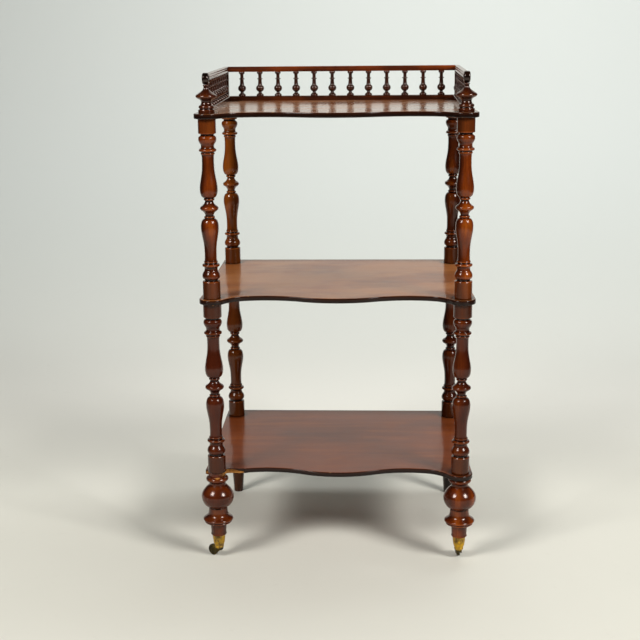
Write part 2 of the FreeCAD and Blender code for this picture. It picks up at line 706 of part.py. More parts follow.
# ---------------------------------------------------------------- finials
for side, sgn in MIRROR_SIDES:
    low = z_top - S("spigot_long")
    path = [
        (ZERO, ZERO, None, True),
        (S("spigot_r") - N(0.8), ZERO, None, True),
        (S("spigot_r"), N(0.8), None, True),
        (S("spigot_r"), z_top_top - low, None, True),
    ]
    path += rows_up("finial", FINIAL, None, -low)
    last = S("finial_h%02d" % (len(FINIAL) - 1)) - low
    path.append((S("finial_pin_r"), last, None, True))
    path.append((S("finial_pin_r"), S("finial_pin_top") - low, None, True))
    path.append((ZERO, S("finial_pin_top") - low, None, True))
    b = turned("finial_turned_" + side, path)
    put(b, X * sgn, YF, low)
    node("finial_" + side, b)

    # scroll drum, turned about X
    R, H, c = S("drum_r"), S("drum_long"), S("drum_round")
    path = [
        (ZERO, N(0.9), None, True),
        (R * 0.55, N(0.9), None, True),
        (R * 0.62, ZERO, None, True),
        (R - c, ZERO, None, True),
        (R, c, c, True),
        (R, H - c, None, True),
        (R - c, H, c, True),
        (R * 0.62, H, None, True),
        (R * 0.55, H - N(0.9), None, True),
        (ZERO, H - N(0.9), None, True),
    ]
    b = turned("drum_turned_" + side, path)
    put(b, X * sgn - H * 0.5, YF, S("drum_z"), Rotation(Vector(0, 1, 0), 90))
    pin_hole = cylinder("drum_pin_hole_" + side, S("finial_pin_r") + S("fit_gap"), N(12.0),
                        (X * sgn, YF, S("finial_pin_top") + N(0.5) - N(12.0)))
    zr = S("top_rail_z") + S("top_rail_high") * 0.5
    ten_hole = cylinder("drum_tenon_hole_" + side, S("rail_tenon_r") + S("fit_gap"), N(20.0),
                        (X * sgn, YF, zr), Rotation(Vector(1, 0, 0), -90))
    t = math.radians(TOE * sgn)
    ten_hole.Placement = Placement(
        Vector(X.v * sgn + 2.0 * math.sin(t), YF.v + 2.0 * math.cos(t), zr.v),
        RZ(-TOE * sgn).multiply(Rotation(Vector(1, 0, 0), -90)))
    node("rail_drum_" + side, cut("rail_drum_" + side, b, [pin_hole, ten_hole]))

# ---------------------------------------------------------------- gallery rails
TH, TZ, TW = S("top_rail_high"), S("top_rail_z"), S("top_rail_half")


def top_section():
    # half section up the right side, then down the left
    half = [
        (TW - N(0.9), ZERO, None, True),
        (TW - N(0.9), N(1.5), None, True),
        (TW - N(0.4), N(1.9), None, True),
        (TW - N(0.4), N(8.3), N(6.6), True),
        (TW - N(1.3), N(9.1), None, True),
        (TW - N(1.3), TH - N(1.7), None, True),
        (TW - N(3.0), TH, N(1.7), True),
    ]
    path = list(half)
    rev = list(reversed(half))
    for k, (x, y, b, l) in enumerate(rev):
        prev = rev[k - 1] if k else None
        path.append((-x, y, prev[2] if prev is not None else None, True))
    return path


def low_section():
    w, h, r = S("low_rail_wide") * 0.5, S("low_rail_high"), S("low_rail_round")
    return [
        (w, ZERO, None, True),
        (w, h - r, None, True),
        (w - r, h, r, True),
        (r - w, h, None, True),
        (-w, h - r, r, True),
        (-w, ZERO, None, True),
    ]


def rail(name, section, role, length):
    body = doc.addObject("PartDesign::Body", name)
    sk = closed_sketch(body, name + "_section", role, section)
    doc.recompute()
    pad = body.newObject("PartDesign::Pad", name + "_length")
    pad.Profile = sk
    pad.Length = N(length).v
    bind(pad, "Length", N(length))
    if role == "XZ_Plane":
        pad.Reversed = True
    body.Tip = pad
    return body


def mitre_box(name, sgn, keep):
    """Block on one side of the mitre line at a back corner."""
    y0 = -60.0 if keep == "side" else 0.0
    b = doc.addObject("Part::Box", name)
    b.Length, b.Width, b.Height = 80.0, 60.0, 1200.0
    rot = RZ(45.0 * sgn)
    shift = rot.multVec(Vector(-40.0, y0, 0.0))
    b.Placement = Placement(Vector(GC.v * sgn, GY.v, 0) + shift, rot)
    bind(b, "Placement.Base.x", GC * sgn + N(shift.x))
    bind(b, "Placement.Base.y", GY + N(shift.y))
    return b


spin_x = [pb * (k + 0.5) for k in range(-6, 6)]
spin_side = [ps * k for k in range(1, 10)]
tr = S("tenon_r") + S("fit_gap")
tl = S("tenon_long") + N(0.5)
half_len = GC + N(14.0)


def stile_hole(name, sgn, z, down):
    # hole for the stile pin, straddling the mitre
    r = S("stile_pin_r") + S("fit_gap")
    h = S("stile_pin_long") + N(0.5)
    return cylinder(name, r, h + N(5.0), (GC * sgn, GY, z - h if down else z - N(5.0)))


low_top = z_top_top + S("low_rail_high")

for kind, section, z in (("bottom", low_section(), z_top_top), ("top", top_section(), TZ)):
    nm = "gallery_back_%s_rail" % kind
    b = rail("back_%s_stick" % kind, section, "YZ_Plane", half_len * 2)
    put(b, -half_len, GY, z)
    tools = [mitre_box("%s_mitre_%s" % (nm, s), sg, "side") for s, sg in MIRROR_SIDES]
    for k, x in enumerate(spin_x):
        zz = low_top - tl if kind == "bottom" else TZ - N(5.0)
        tools.append(cylinder("%s_mortise%02d" % (nm, k), tr, tl + N(5.0), (x, GY, zz)))
    for s, sg in MIRROR_SIDES:
        tools.append(stile_hole("%s_stile_%s" % (nm, s), sg, low_top if kind == "bottom" else TZ,
                                kind == "bottom"))
    if kind == "bottom":
        for k, (x, y) in enumerate(screw_xy[:5]):
            tools.append(cylinder("%s_screw%02d" % (nm, k), S("screw_r") + S("fit_gap"), N(10.0),
                                  (x, y, z_top_top - N(2.5))))
    node(nm, cut(nm, b, tools))

    for s, sg in MIRROR_SIDES:
        nm = "gallery_side_%s_rail_%s" % (kind, s)
        start = 3.0 if kind == "top" else 5.0
        b = rail("side_%s_stick_%s" % (kind, s), section, "XZ_Plane", run_y + N(20.0 - start))
        t = math.radians(TOE)
        put(b, (X + N(start * math.sin(t))) * sg, YF + N(start * math.cos(t)), z, RZ(-TOE * sg))
        tools = [mitre_box("%s_mitre" % nm, sg, "back")]
        if kind == "top":
            tools.append(cylinder(nm + "_cope", S("drum_r") + S("fit_gap"), N(60.0),
                                  (X * sg - N(30.0), YF, S("drum_z")), Rotation(Vector(0, 1, 0), 90)))
        else:
            tools.append(cylinder(nm + "_cope", S("finial_r01") + S("fit_gap"), N(40.0),
                                  (X * sg, YF, z_top_top - N(10.0))))
        for k, q in enumerate(spin_side):
            f = q.v / run_y.v
            zz = low_top - tl if kind == "bottom" else TZ - N(5.0)
            tools.append(cylinder("%s_mortise%02d" % (nm, k), tr, tl + N(5.0),
                                  ((X + (GC - X) * f) * sg, YF + q, zz)))
        tools.append(stile_hole(nm + "_stile", sg, low_top if kind == "bottom" else TZ,
                                kind == "bottom"))
        if kind == "bottom":
            chosen = screw_xy[5:8] if sg < 0 else screw_xy[8:11]
            for k, (x, y) in enumerate(chosen):
                tools.append(cylinder("%s_screw%02d" % (nm, k), S("screw_r") + S("fit_gap"),
                                      N(10.0), (x, y, z_top_top - N(2.5))))
            node(nm, cut(nm, b, tools))
        else:
            c = cut(nm + "_shaped", b, tools)
            zr = TZ + TH * 0.5
            ten = doc.addObject("Part::Cylinder", nm + "_tenon")
            ten.Radius, ten.Height = S("rail_tenon_r").v, 14.0
            bind(ten, "Radius", S("rail_tenon_r"))
            d = 3.0
            ten.Placement = Placement(
                Vector((X.v + d * math.sin(t)) * sg, YF.v + d * math.cos(t), zr.v),
                RZ(-TOE * sg).multiply(Rotation(Vector(1, 0, 0), -90)))
            node(nm, fuse(nm, [c, ten]))

# corner stiles
for side, sgn in MIRROR_SIDES:
    w = S("stile_wide")
    hgt = TZ - low_top
    b = box("stile_stick_" + side, (w, w, hgt), (GC * sgn - w * 0.5, GY - w * 0.5, low_top))
    bind(b, "Placement.Base.z", low_top)
    pin = cylinder("stile_pin_" + side, S("stile_pin_r"), hgt + S("stile_pin_long") * 2,
                   (GC * sgn, GY, low_top - S("stile_pin_long")))
    node("corner_stile_" + side, fuse("corner_stile_" + side, [b, pin]))

# ---------------------------------------------------------------- spindles
low = low_top - S("tenon_long")
path = [
    (ZERO, ZERO, None, True),
    (S("tenon_r"), ZERO, None, True),
    (S("tenon_r"), S("tenon_long"), None, True),
]
path += rows_up("spindle", SPINDLE, None, -low)
path.append((S("tenon_r"), TZ - low, None, True))
path.append((S("tenon_r"), TZ + S("tenon_long") - low, None, True))
path.append((ZERO, TZ + S("tenon_long") - low, None, True))
spindle = turned("spindle_pattern", path)
put(spindle, ZERO, ZERO, low)
doc.recompute()


def spindle_at(x, y):
    s = spindle.Shape.copy()
    s.Placement = Placement(Vector(x, y, low.v), Rotation())
    return s


node("back_spindles", group("back_spindles", [spindle_at(x.v, GY.v) for x in spin_x]))
for side, sgn in MIRROR_SIDES:
    made = []
    for q in spin_side:
        f = q.v / run_y.v
        made.append(spindle_at((X.v + (GC.v - X.v) * f) * sgn, YF.v + q.v))
    node("side_spindles_" + side, group("side_spindles_" + side, made))

# gallery screws
sl = S("screw_long") * 0.5
path = [
    (ZERO, ZERO, None, True),
    (S("screw_head_r"), ZERO, None, True),
    (S("screw_r"), N(2.5), None, True),
    (S("screw_r"), S("screw_long") - N(2.0), None, True),
    (ZERO, S("screw_long"), None, True),
]
screw = turned("screw_pattern", path)
doc.recompute()
made = []
for x, y in screw_xy:
    s = screw.Shape.copy()
    s.Placement = Placement(Vector(x.v, y.v, z_top.v), Rotation())
    made.append(s)
node("gallery_screws", group("gallery_screws", made))

# ---------------------------------------------------------------- castors
for side, sgn in MIRROR_SIDES:
    g = S("fit_gap")
    path = [
        (S("pintle_bore_r"), S("cup_foot_z"), None, True),
        (N(8.4), S("cup_foot_z"), None, True),
        (N(10.0), N(24.6), N(2.0), True),
        (N(10.4), N(26.6), N(1.6), True),
        (N(10.2), N(28.2), N(1.6), True),
        (N(11.7), N(33.0), None, True),
        (N(13.3), N(40.0), N(40.0), True),
        (N(14.3), N(48.0), None, True),
        (N(14.6), N(54.0), None, True),
        (N(15.35), N(54.6), None, True),
        (N(15.35), N(55.8), N(1.0), True),
        (N(15.0), S("cup_rim_z"), None, True),
        (S("peg_top_r") + g, S("cup_rim_z"), None, True),
        (S("peg_foot_r") + g, S("cup_floor_z"), None, True),
        (S("pintle_bore_r"), S("cup_floor_z"), None, True),
    ]
    b = turned("cup_turned_" + side, path)
    put(b, X * sgn, YF, ZERO)
    hole = cylinder("cup_screw_hole_" + side, N(1.35), N(10.0),
                    (X * sgn, YF - N(19.0), N(45.0)), Rotation(Vector(1, 0, 0), -90))
    node("caster_cup_" + side, cut("caster_cup_" + side, b, [hole]))

    # screw through the front of the cup into the foot
    path = [
        (ZERO, ZERO, None, True),
        (N(1.3), ZERO, None, True),
        (N(1.3), N(7.4), None, True),
        (N(2.7), N(7.4), None, True),
        (N(2.7), N(7.9), None, True),
        (N(1.8), N(8.5), None, True),
        (ZERO, N(8.5), None, True),
    ]
    b = turned("cup_screw_turned_" + side, path)
    put(b, X * sgn, YF - N(14.45) + N(7.4), N(45.0), Rotation(Vector(1, 0, 0), 90))
    slot = box("cup_screw_slot_" + side, (N(7.0), N(1.0), N(0.8)),
               (X * sgn - N(3.5), YF - N(15.85), N(44.6)))
    node("cup_screw_" + side, cut("cup_screw_" + side, b, [slot]))

    turn = S("left_trail_turn" if sgn < 0 else "right_trail_turn")
    # horn: crown and cheeks, drawn with the wheel trailing along +X
    body = doc.addObject("PartDesign::Body", "horn_" + side)
    T, CT = S("trail"), S("crown_top_z")
    prof = [
        (N(-6.6), CT, None, True),
        (N(-6.6), N(19.4), None, True),
        (N(1.4), N(12.6), N(14.0), True),
        (T - N(2.1), N(8.9), None, True),
        (T + N(4.2), N(14.9), N(4.61), True),
        (T + N(2.0), N(17.15), N(4.61), True),
        (N(9.2), CT, None, True),
    ]
    sk = closed_sketch(body, "horn_profile_" + side, "XZ_Plane", prof)
    doc.recompute()
    pad = body.newObject("PartDesign::Pad", "horn_blank_" + side)
    pad.Profile = sk
    pad.Length = S("horn_outer").v * 2
    pad.setExpression("Length", (S("horn_outer") * 2).t)
    body.Tip = pad
    put(body, ZERO, S("horn_outer"), ZERO)
    # slot for the wheel and the round crown
    slot_box = box("horn_slot_box_" + side, (N(40.0), S("horn_inner") * 2, N(30.0)),
                   (N(0.0), -S("horn_inner"), N(-2.0)))
    keep = cylinder("horn_crown_keep_" + side, N(6.9), N(14.0), (ZERO, ZERO, N(17.2)))
    slot = doc.addObject("Part::Cut", "horn_slot_" + side)
    slot.Base, slot.Tool = slot_box, keep
    slot2 = box("horn_slot_low_" + side, (N(60.0), S("horn_inner") * 2, N(20.0)),
                (N(-20.0), -S("horn_inner"), N(-3.0)))
    axle_hole = cylinder("horn_axle_hole_" + side, S("axle_r") + N(0.03), N(30.0),
                         (T, N(15.0), S("wheel_r")), Rotation(Vector(1, 0, 0), 90))
    wheel_room = cylinder("horn_wheel_room_" + side, S("wheel_r") + N(0.8), S("horn_inner") * 2,
                          (T, S("horn_inner"), S("wheel_r")), Rotation(Vector(1, 0, 0), 90))
    shaped = cut("horn_shaped_" + side, body, [slot, slot2, axle_hole, wheel_room])
    pintle = cylinder("pintle_" + side, S("pintle_r"), S("pintle_top_z") - N(19.0),
                      (ZERO, ZERO, N(19.0)))
    horn = fuse("caster_fork_" + side, [shaped, pintle])
    place = Placement(Vector(X.v * sgn, YF.v, 0), RZ(turn.v))
    horn.Placement = place
    horn.setExpression("Placement.Rotation.Angle", turn.t)
    node("caster_fork_" + side, horn)

    # riveted washer on the pintle, above the cup floor
    path = [
        (S("pintle_r") + N(0.03), N(30.6), None, True),
        (N(6.0), N(30.6), None, True),
        (N(6.0), N(31.7), None, True),
        (N(5.6), N(32.1), None, True),
        (S("pintle_r") + N(0.03), N(32.1), None, True),
    ]
    b = turned("washer_turned_" + side, path)
    put(b, X * sgn, YF, ZERO)
    node("pintle_washer_" + side, b)

    # wheel: rounded rim, dished faces
    w = S("wheel_half")
    R = S("wheel_r")
    bore = S("wheel_bore_r")
    path = [
        (bore, -w, None, True),
        (N(4.4), -w, None, True),
        (N(5.0), N(1.1) - w, None, True),
        (N(9.2), N(1.1) - w, None, True),
        (N(9.8), N(0.4) - w, None, True),
        (R - N(1.2), N(0.4) - w, None, True),
        (R, N(2.0) - w, N(1.9), True),
        (R, w - N(2.0), None, True),
        (R - N(1.2), w - N(0.4), N(1.9), True),
        (N(9.8), w - N(0.4), None, True),
        (N(9.2), w - N(1.1), None, True),
        (N(5.0), w - N(1.1), None, True),
        (N(4.4), w, None, True),
        (bore, w, None, True),
    ]
    b = turned("wheel_turned_" + side, path)
    a = math.radians(turn.v)
    at = Vector(X.v * sgn + T.v * math.cos(a), YF.v + T.v * math.sin(a), R.v)
    b.Placement = Placement(at, RZ(turn.v).multiply(Rotation(Vector(1, 0, 0), 90)))
    node("caster_wheel_" + side, b)

    # axle with riveted heads outside the cheeks
    e = S("horn_outer") + N(0.05)
    path = [
        (ZERO, -e - N(0.9), None, True),
        (S("axle_head_r") - N(0.9), -e - N(0.9), None, True),
        (S("axle_head_r"), -e, N(1.0), True),
        (S("axle_r"), -e, None, True),
        (S("axle_r"), e, None, True),
        (S("axle_head_r"), e, None, True),
        (S("axle_head_r") - N(0.9), e + N(0.9), N(1.0), True),
        (ZERO, e + N(0.9), None, True),
    ]
    b = turned("axle_turned_" + side, path)
    b.Placement = Placement(at, RZ(turn.v).multiply(Rotation(Vector(1, 0, 0), 90)))
    node("caster_axle_" + side, b)

# ---------------------------------------------------------------- check and write
doc.recompute()
for obj in doc.Objects:
    state = [str(s) for s in getattr(obj, "State", [])]
    if any("Invalid" in s or "Error" in s for s in state):
        raise RuntimeError("%s is in state %s" % (obj.Name, state))
for sk in SK:
    if sk.solve() != 0:
        raise RuntimeError("sketch %s does not solve" % sk.Name)

os.makedirs("parts", exist_ok=True)
for name in sorted(NODES):
    shape = NODES[name].Shape
    if shape.isNull() or not shape.isValid():
        raise RuntimeError("bad shape " + name)
    if len(shape.Solids) == 1:
        shape = shape.Solids[0]
    bb = shape.BoundBox
    print("%-32s solids %2d  vol %10.1f  x %7.1f..%7.1f  y %7.1f..%7.1f  z %7.1f..%7.1f" % (
        name, len(shape.Solids), shape.Volume, bb.XMin, bb.XMax, bb.YMin, bb.YMax, bb.ZMin, bb.ZMax))
    shape.exportStep("parts/%s.step" % name)
print(len(NODES), "nodes")
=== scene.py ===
import bpy
import math
import random
import numpy as np
from mathutils import Matrix, Vector
from mathutils.geometry import delaunay_2d_cdt


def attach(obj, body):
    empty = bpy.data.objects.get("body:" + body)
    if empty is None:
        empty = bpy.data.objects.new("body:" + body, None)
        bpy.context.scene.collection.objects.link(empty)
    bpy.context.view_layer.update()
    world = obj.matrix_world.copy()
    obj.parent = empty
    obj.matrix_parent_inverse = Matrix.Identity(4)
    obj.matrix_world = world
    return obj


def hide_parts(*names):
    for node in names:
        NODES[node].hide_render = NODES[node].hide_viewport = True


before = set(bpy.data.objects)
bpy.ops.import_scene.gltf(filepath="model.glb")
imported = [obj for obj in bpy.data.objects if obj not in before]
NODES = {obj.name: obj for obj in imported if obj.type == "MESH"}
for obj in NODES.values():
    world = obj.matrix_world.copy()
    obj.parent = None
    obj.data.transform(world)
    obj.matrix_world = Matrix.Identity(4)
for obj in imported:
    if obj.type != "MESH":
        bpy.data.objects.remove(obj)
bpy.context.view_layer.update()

MM = 0.001
random.seed(7)
SCENE = bpy.context.scene

# ------------------------------------------------------------------ camera
# The photograph's viewing angle: eye a little right of the middle and above
# the top board, looking slightly down.
FOCAL, PITCH, YAW, ROLL = 1250.0, 0.2331, 0.0447, -0.0093
cp, sp, cy, sy = math.cos(PITCH), math.sin(PITCH), math.cos(YAW), math.sin(YAW)
fwd = Vector((-cp * sy, cp * cy, -sp))
right = Vector((cy, sy, 0.0))
up = Vector((-sp * sy, sp * cy, cp))
cr, sr = math.cos(ROLL), math.sin(ROLL)
cam_x = right * cr + up * sr
cam_y = up * cr - right * sr
cam_data = bpy.data.cameras.new("camera")
cam_data.sensor_fit = "HORIZONTAL"
cam_data.sensor_width = 36.0
cam_data.lens = 36.0 * FOCAL / 640.0
cam_data.clip_end = 60.0
cam = bpy.data.objects.new("camera", cam_data)
m = Matrix((cam_x, cam_y, -fwd)).transposed().to_4x4()
m.translation = Vector((0.0833, -2.9377, 1.2182))
cam.matrix_world = m
SCENE.collection.objects.link(cam)
SCENE.camera = cam
SCENE.view_settings.view_transform = "Standard"
SCENE.view_settings.look = "None"

# ------------------------------------------------------------------ sizes, mm
BOARD_T = 11.1
Z_BOTTOM = 201.4
POST_L = 398.1
POST_MID = 202.6
Z_MIDDLE = Z_BOTTOM + BOARD_T + POST_L
Z_TOP = Z_MIDDLE + BOARD_T + POST_L
Z_TOP_TOP = Z_TOP + BOARD_T
POST_X, YF, YR = 280.0, -216.2, 211.8
UPPER_GIRTH, LOWER_GIRTH = 0.985, 1.03
LOW_TOP = Z_TOP_TOP + 11.1
TOP_RAIL_Z = 1101.6
GX, GY = 288.0, 238.8
DRUM_Z = 1104.5
SIDES = (("left", -1.0), ("right", 1.0))
POST_HALF = [
    (0.00, 20.60, None), (3.00, 19.50, -4.70), (5.40, 16.40, -7.60),
    (8.80, 12.40, 60.00), (12.60, 10.20, 11.00), (15.80, 9.40, 7.00),
    (17.00, 9.60, None), (17.60, 11.20, None), (19.80, 12.00, -2.50),
    (21.80, 11.30, -2.40), (22.40, 10.80, None), (23.60, 13.40, None),
    (26.60, 16.70, -24.00), (33.23, 19.14, -23.41), (41.00, 20.00, -45.49),
    (51.55, 19.36, -62.14), (62.00, 17.60, -258.83), (72.96, 15.59, 1008.14),
    (84.00, 14.10, 133.09), (93.49, 13.58, 128.42), (103.00, 13.40, 464.50),
    (111.31, 13.50, 190.46), (117.20, 14.10, 41.65), (118.20, 15.10, None),
    (119.80, 15.60, -1.90), (121.40, 15.00, -1.90), (122.20, 14.50, None),
    (123.20, 14.90, None), (124.20, 17.80, None), (127.00, 19.70, -3.60),
    (129.60, 18.60, -3.60), (130.80, 16.40, None), (132.20, 15.20, 3.01),
    (134.60, 14.70, 8.06), (142.07, 16.92, 10.21), (149.50, 20.10, -18.29),
    (153.60, 20.00, -9.50), (157.60, 17.60, -6.20), (159.20, 15.00, None),
    (162.00, 15.00, None), (163.00, 19.20, None), (164.40, 20.00, None),
]
FOOT = [
    (56.40, 15.60, None), (57.20, 17.30, None), (59.00, 18.20, -2.60),
    (60.80, 17.80, -2.60), (62.50, 17.40, None), (68.26, 17.60, 94.77),
    (76.00, 18.00, 220.02), (83.60, 18.60, 150.00), (86.00, 19.80, 4.50),
    (87.00, 22.00, None), (88.00, 28.60, None), (89.60, 31.40, -2.80),
    (91.30, 31.20, -1.60), (92.00, 30.40, None), (92.80, 31.20, None),
    (94.20, 33.80, -4.20), (96.80, 34.60, -3.60), (99.40, 33.00, -4.20),
    (101.80, 29.40, None), (104.60, 25.90, 16.00), (108.40, 23.30, 12.00),
    (113.20, 22.10, 22.00), (119.60, 21.60, 60.00), (124.20, 21.40, None),
    (125.00, 20.80, None), (126.00, 21.80, None), (132.40, 30.40, -37.30),
    (138.60, 34.20, -37.30), (145.60, 36.60, -37.30), (153.60, 37.40, -37.30),
    (161.15, 35.75, -22.00), (168.00, 31.60, -43.71), (173.98, 26.60, -47.08),
    (178.60, 21.20, -40.73), (180.20, 19.60, None), (183.40, 18.80, 9.00),
    (186.60, 19.20, 12.00), (188.00, 20.60, None), (189.80, 22.40, 3.40),
    (191.40, 24.60, -3.60), (194.40, 25.80, -4.60), (197.60, 24.80, -5.20),
    (199.20, 22.80, -3.20), (199.90, 20.40, None), (200.60, 19.60, None),
]
REAR_LEG = [
    (0.00, 10.60, None), (0.44, 11.41, -1.33), (1.30, 11.80, -1.69),
    (43.00, 14.70, None), (60.00, 15.80, None), (90.00, 17.10, None),
    (120.00, 18.20, None), (141.00, 18.90, None), (162.00, 19.00, -424.00),
    (164.50, 17.60, None), (167.00, 17.40, None), (168.60, 19.60, None),
    (170.00, 20.00, None),
]
FINIAL = [
    (1030.90, 17.70, None), (1037.20, 17.90, None), (1038.60, 17.30, None),
    (1039.60, 15.40, None), (1041.20, 15.00, 2.33), (1043.00, 16.60, -2.60),
    (1045.60, 16.50, -4.93), (1047.61, 15.20, -4.41), (1048.60, 13.20, None),
    (1051.20, 11.60, 10.62), (1054.20, 10.80, 7.97), (1057.00, 11.40, 6.32),
    (1059.40, 13.40, 7.95), (1061.40, 16.60, 17.03), (1063.00, 19.80, -46.72),
    (1064.60, 21.80, -7.74), (1066.90, 22.80, -4.24), (1069.20, 22.10, -4.12),
    (1071.00, 20.20, -7.95), (1073.20, 17.00, -36.73), (1075.60, 13.30, 400.00),
    (1078.00, 9.90, 46.03), (1080.20, 7.50, 16.41), (1082.80, 5.90, 10.88),
    (1086.00, 5.10, 10.40), (1088.40, 5.10, None), (1089.33, 6.00, -1.13),
    (1090.40, 6.40, -3.43), (1091.27, 6.10, -3.05), (1091.90, 5.40, -1.09),
]
SPINDLE = [
    (1042.00, 8.40, None), (1042.80, 8.90, None), (1044.00, 9.00, -4.50),
    (1045.60, 8.50, -4.20), (1047.20, 6.90, -4.00), (1048.60, 5.20, None),
    (1050.00, 4.20, 3.20), (1051.20, 3.90, 3.00), (1052.40, 4.50, 2.40),
    (1053.40, 6.00, 4.80), (1056.80, 9.10, -8.52), (1061.00, 10.00, -9.10),
    (1065.20, 9.00, -8.55), (1068.00, 6.20, -7.60), (1068.60, 5.70, None),
    (1069.60, 5.40, None), (1073.50, 4.90, 40.00), (1079.00, 4.50, 120.00),
    (1082.50, 4.30, None), (1083.00, 6.10, None), (1084.20, 6.80, -1.50),
    (1085.40, 6.10, -1.50), (1085.90, 4.30, None), (1089.50, 4.00, 60.00),
    (1093.40, 4.10, 60.00), (1095.30, 4.80, 3.20), (1096.10, 5.70, None),
    (1097.60, 6.90, -2.40), (1099.60, 7.30, -4.00), (1101.60, 6.70, -4.40),
]


# ------------------------------------------------------------------ mesh help
def arc_points(p0, p1, radius, left, step=7.0):
    """Points after p0 up to p1 along the arc between them."""
    mx, my = (p0[0] + p1[0]) / 2, (p0[1] + p1[1]) / 2
    dx, dy = p1[0] - p0[0], p1[1] - p0[1]
    c = math.hypot(dx, dy)
    h = math.sqrt(max(radius * radius - c * c / 4, 0.0))
    s = 1.0 if left else -1.0
    cx, cy_ = mx - s * h * dy / c, my + s * h * dx / c
    a0 = math.atan2(p0[1] - cy_, p0[0] - cx)
    a1 = math.atan2(p1[1] - cy_, p1[0] - cx)
    if left:
        while a1 <= a0:
            a1 += 2 * math.pi
    else:
        while a1 >= a0:
            a1 -= 2 * math.pi
    n = max(2, int(math.ceil(abs(math.degrees(a1 - a0)) / step)))
    return [(cx + radius * math.cos(a0 + (a1 - a0) * k / n),
             cy_ + radius * math.sin(a0 + (a1 - a0) * k / n)) for k in range(1, n + 1)]


def curve(rows):
    """(radius, height) points of a turned pattern."""
    pts = [(rows[0][1], rows[0][0])]
    for (h0, r0, _), (h1, r1, bend) in zip(rows, rows[1:]):
        if bend is None:
            pts.append((r1, h1))
        else:
            pts += arc_points((r0, h0), (r1, h1), abs(bend), bend < 0)
    return pts


def soften(pts, rad=0.45, limit=16.0):
    """Rounds the corners of an open line of points."""
    out = [pts[0]]
    for a, b, c in zip(pts, pts[1:], pts[2:]):
        u = Vector((b[0] - a[0], b[1] - a[1]))
        v = Vector((c[0] - b[0], c[1] - b[1]))
        lu, lv = u.length, v.length
        if lu < 1e-6 or lv < 1e-6:
            continue
        turn = math.degrees(u.angle(v))
        if turn < limit:
            out.append(b)
            continue
        t = min(rad * math.tan(math.radians(min(turn, 150)) / 2), 0.42 * lu, 0.42 * lv)
        q0 = Vector(b) - u / lu * t
        q2 = Vector(b) + v / lv * t
        for s in (0.0, 0.25, 0.5, 0.75, 1.0):
            p = q0 * (1 - s) ** 2 + Vector(b) * 2 * s * (1 - s) + q2 * s ** 2
            out.append((p.x, p.y))
    out.append(pts[-1])
    return out


def refine(pts, step=2.4):
    out = [pts[0]]
    for a, b in zip(pts, pts[1:]):
        n = max(1, int(math.ceil(math.hypot(b[0] - a[0], b[1] - a[1]) / step)))
        for k in range(1, n + 1):
            out.append((a[0] + (b[0] - a[0]) * k / n, a[1] + (b[1] - a[1]) * k / n))
    return out


def hollowness(pts, reach=3.2, depth=1.3):
    """-1 on ridges to +1 in grooves, for each point of a profile."""
    P = np.array(pts)
    s = np.r_[0, np.cumsum(np.hypot(*np.diff(P, axis=0).T))]
    out = []
    for i in range(len(P)):
        ks = np.linspace(-reach, reach, 9)
        rr = np.interp(s[i] + ks, s, P[:, 0])
        out.append(float(np.clip((rr.mean() - P[i, 0]) / depth, -1, 1)))
    return out


class Mesh:
    def __init__(self):
        self.v, self.f, self.cav = [], [], []

    def lathe(self, pts, centre, axis="Z", seg=72, phase=0.0, wobble=0.0, caps=True):
        """Adds a closed turned solid. pts: (radius, height) going up, in mm."""
        cav = hollowness(pts)
        prof = list(pts)
        marks = list(cav)
        if caps:
            r0, z0 = prof[0]
            r1, z1 = prof[-1]
            if r0 > 1.2:
                prof.insert(0, (r0 - 0.6, z0)); marks.insert(0, marks[0])
            if r1 > 1.2:
                prof.append((r1 - 0.6, z1)); marks.append(marks[-1])
        base = len(self.v)
        for i, (r, z) in enumerate(prof):
            for k in range(seg):
                a = phase + 2 * math.pi * k / seg
                rr = r + wobble * math.sin(2 * a + z * 0.013 + phase * 3)
                x, y = rr * math.cos(a), rr * math.sin(a)
                if axis == "Z":
                    p = (x, y, z)
                elif axis == "X":
                    p = (z, x, y)
                else:
                    p = (y, z, x)
                self.v.append(((centre[0] + p[0]) * MM, (centre[1] + p[1]) * MM, (centre[2] + p[2]) * MM))
                self.cav.append(marks[i])
        n = len(prof)
        for i in range(n - 1):
            for k in range(seg):
                a = base + i * seg + k
                b = base + i * seg + (k + 1) % seg
                self.f.append((a, b, b + seg, a + seg))
        self.f.append(tuple(base + k for k in reversed(range(seg))))
        self.f.append(tuple(base + (n - 1) * seg + k for k in range(seg)))

    def make(self, name, smooth=True):
        me = bpy.data.meshes.new(name)
        me.from_pydata(self.v, [], self.f)
        me.validate()
        att = me.attributes.new("cav", "FLOAT", "POINT")
        att.data.foreach_set("value", self.cav)
        me.polygons.foreach_set("use_smooth", [smooth] * len(me.polygons))
        me.update()
        ob = bpy.data.objects.new(name, me)
        SCENE.collection.objects.link(ob)
        return ob


def piece(ob, body, nodes, mat):
    ob.data.materials.clear()
    ob.data.materials.append(mat)
    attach(ob, body)
    if nodes:
        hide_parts(*nodes)
    return ob


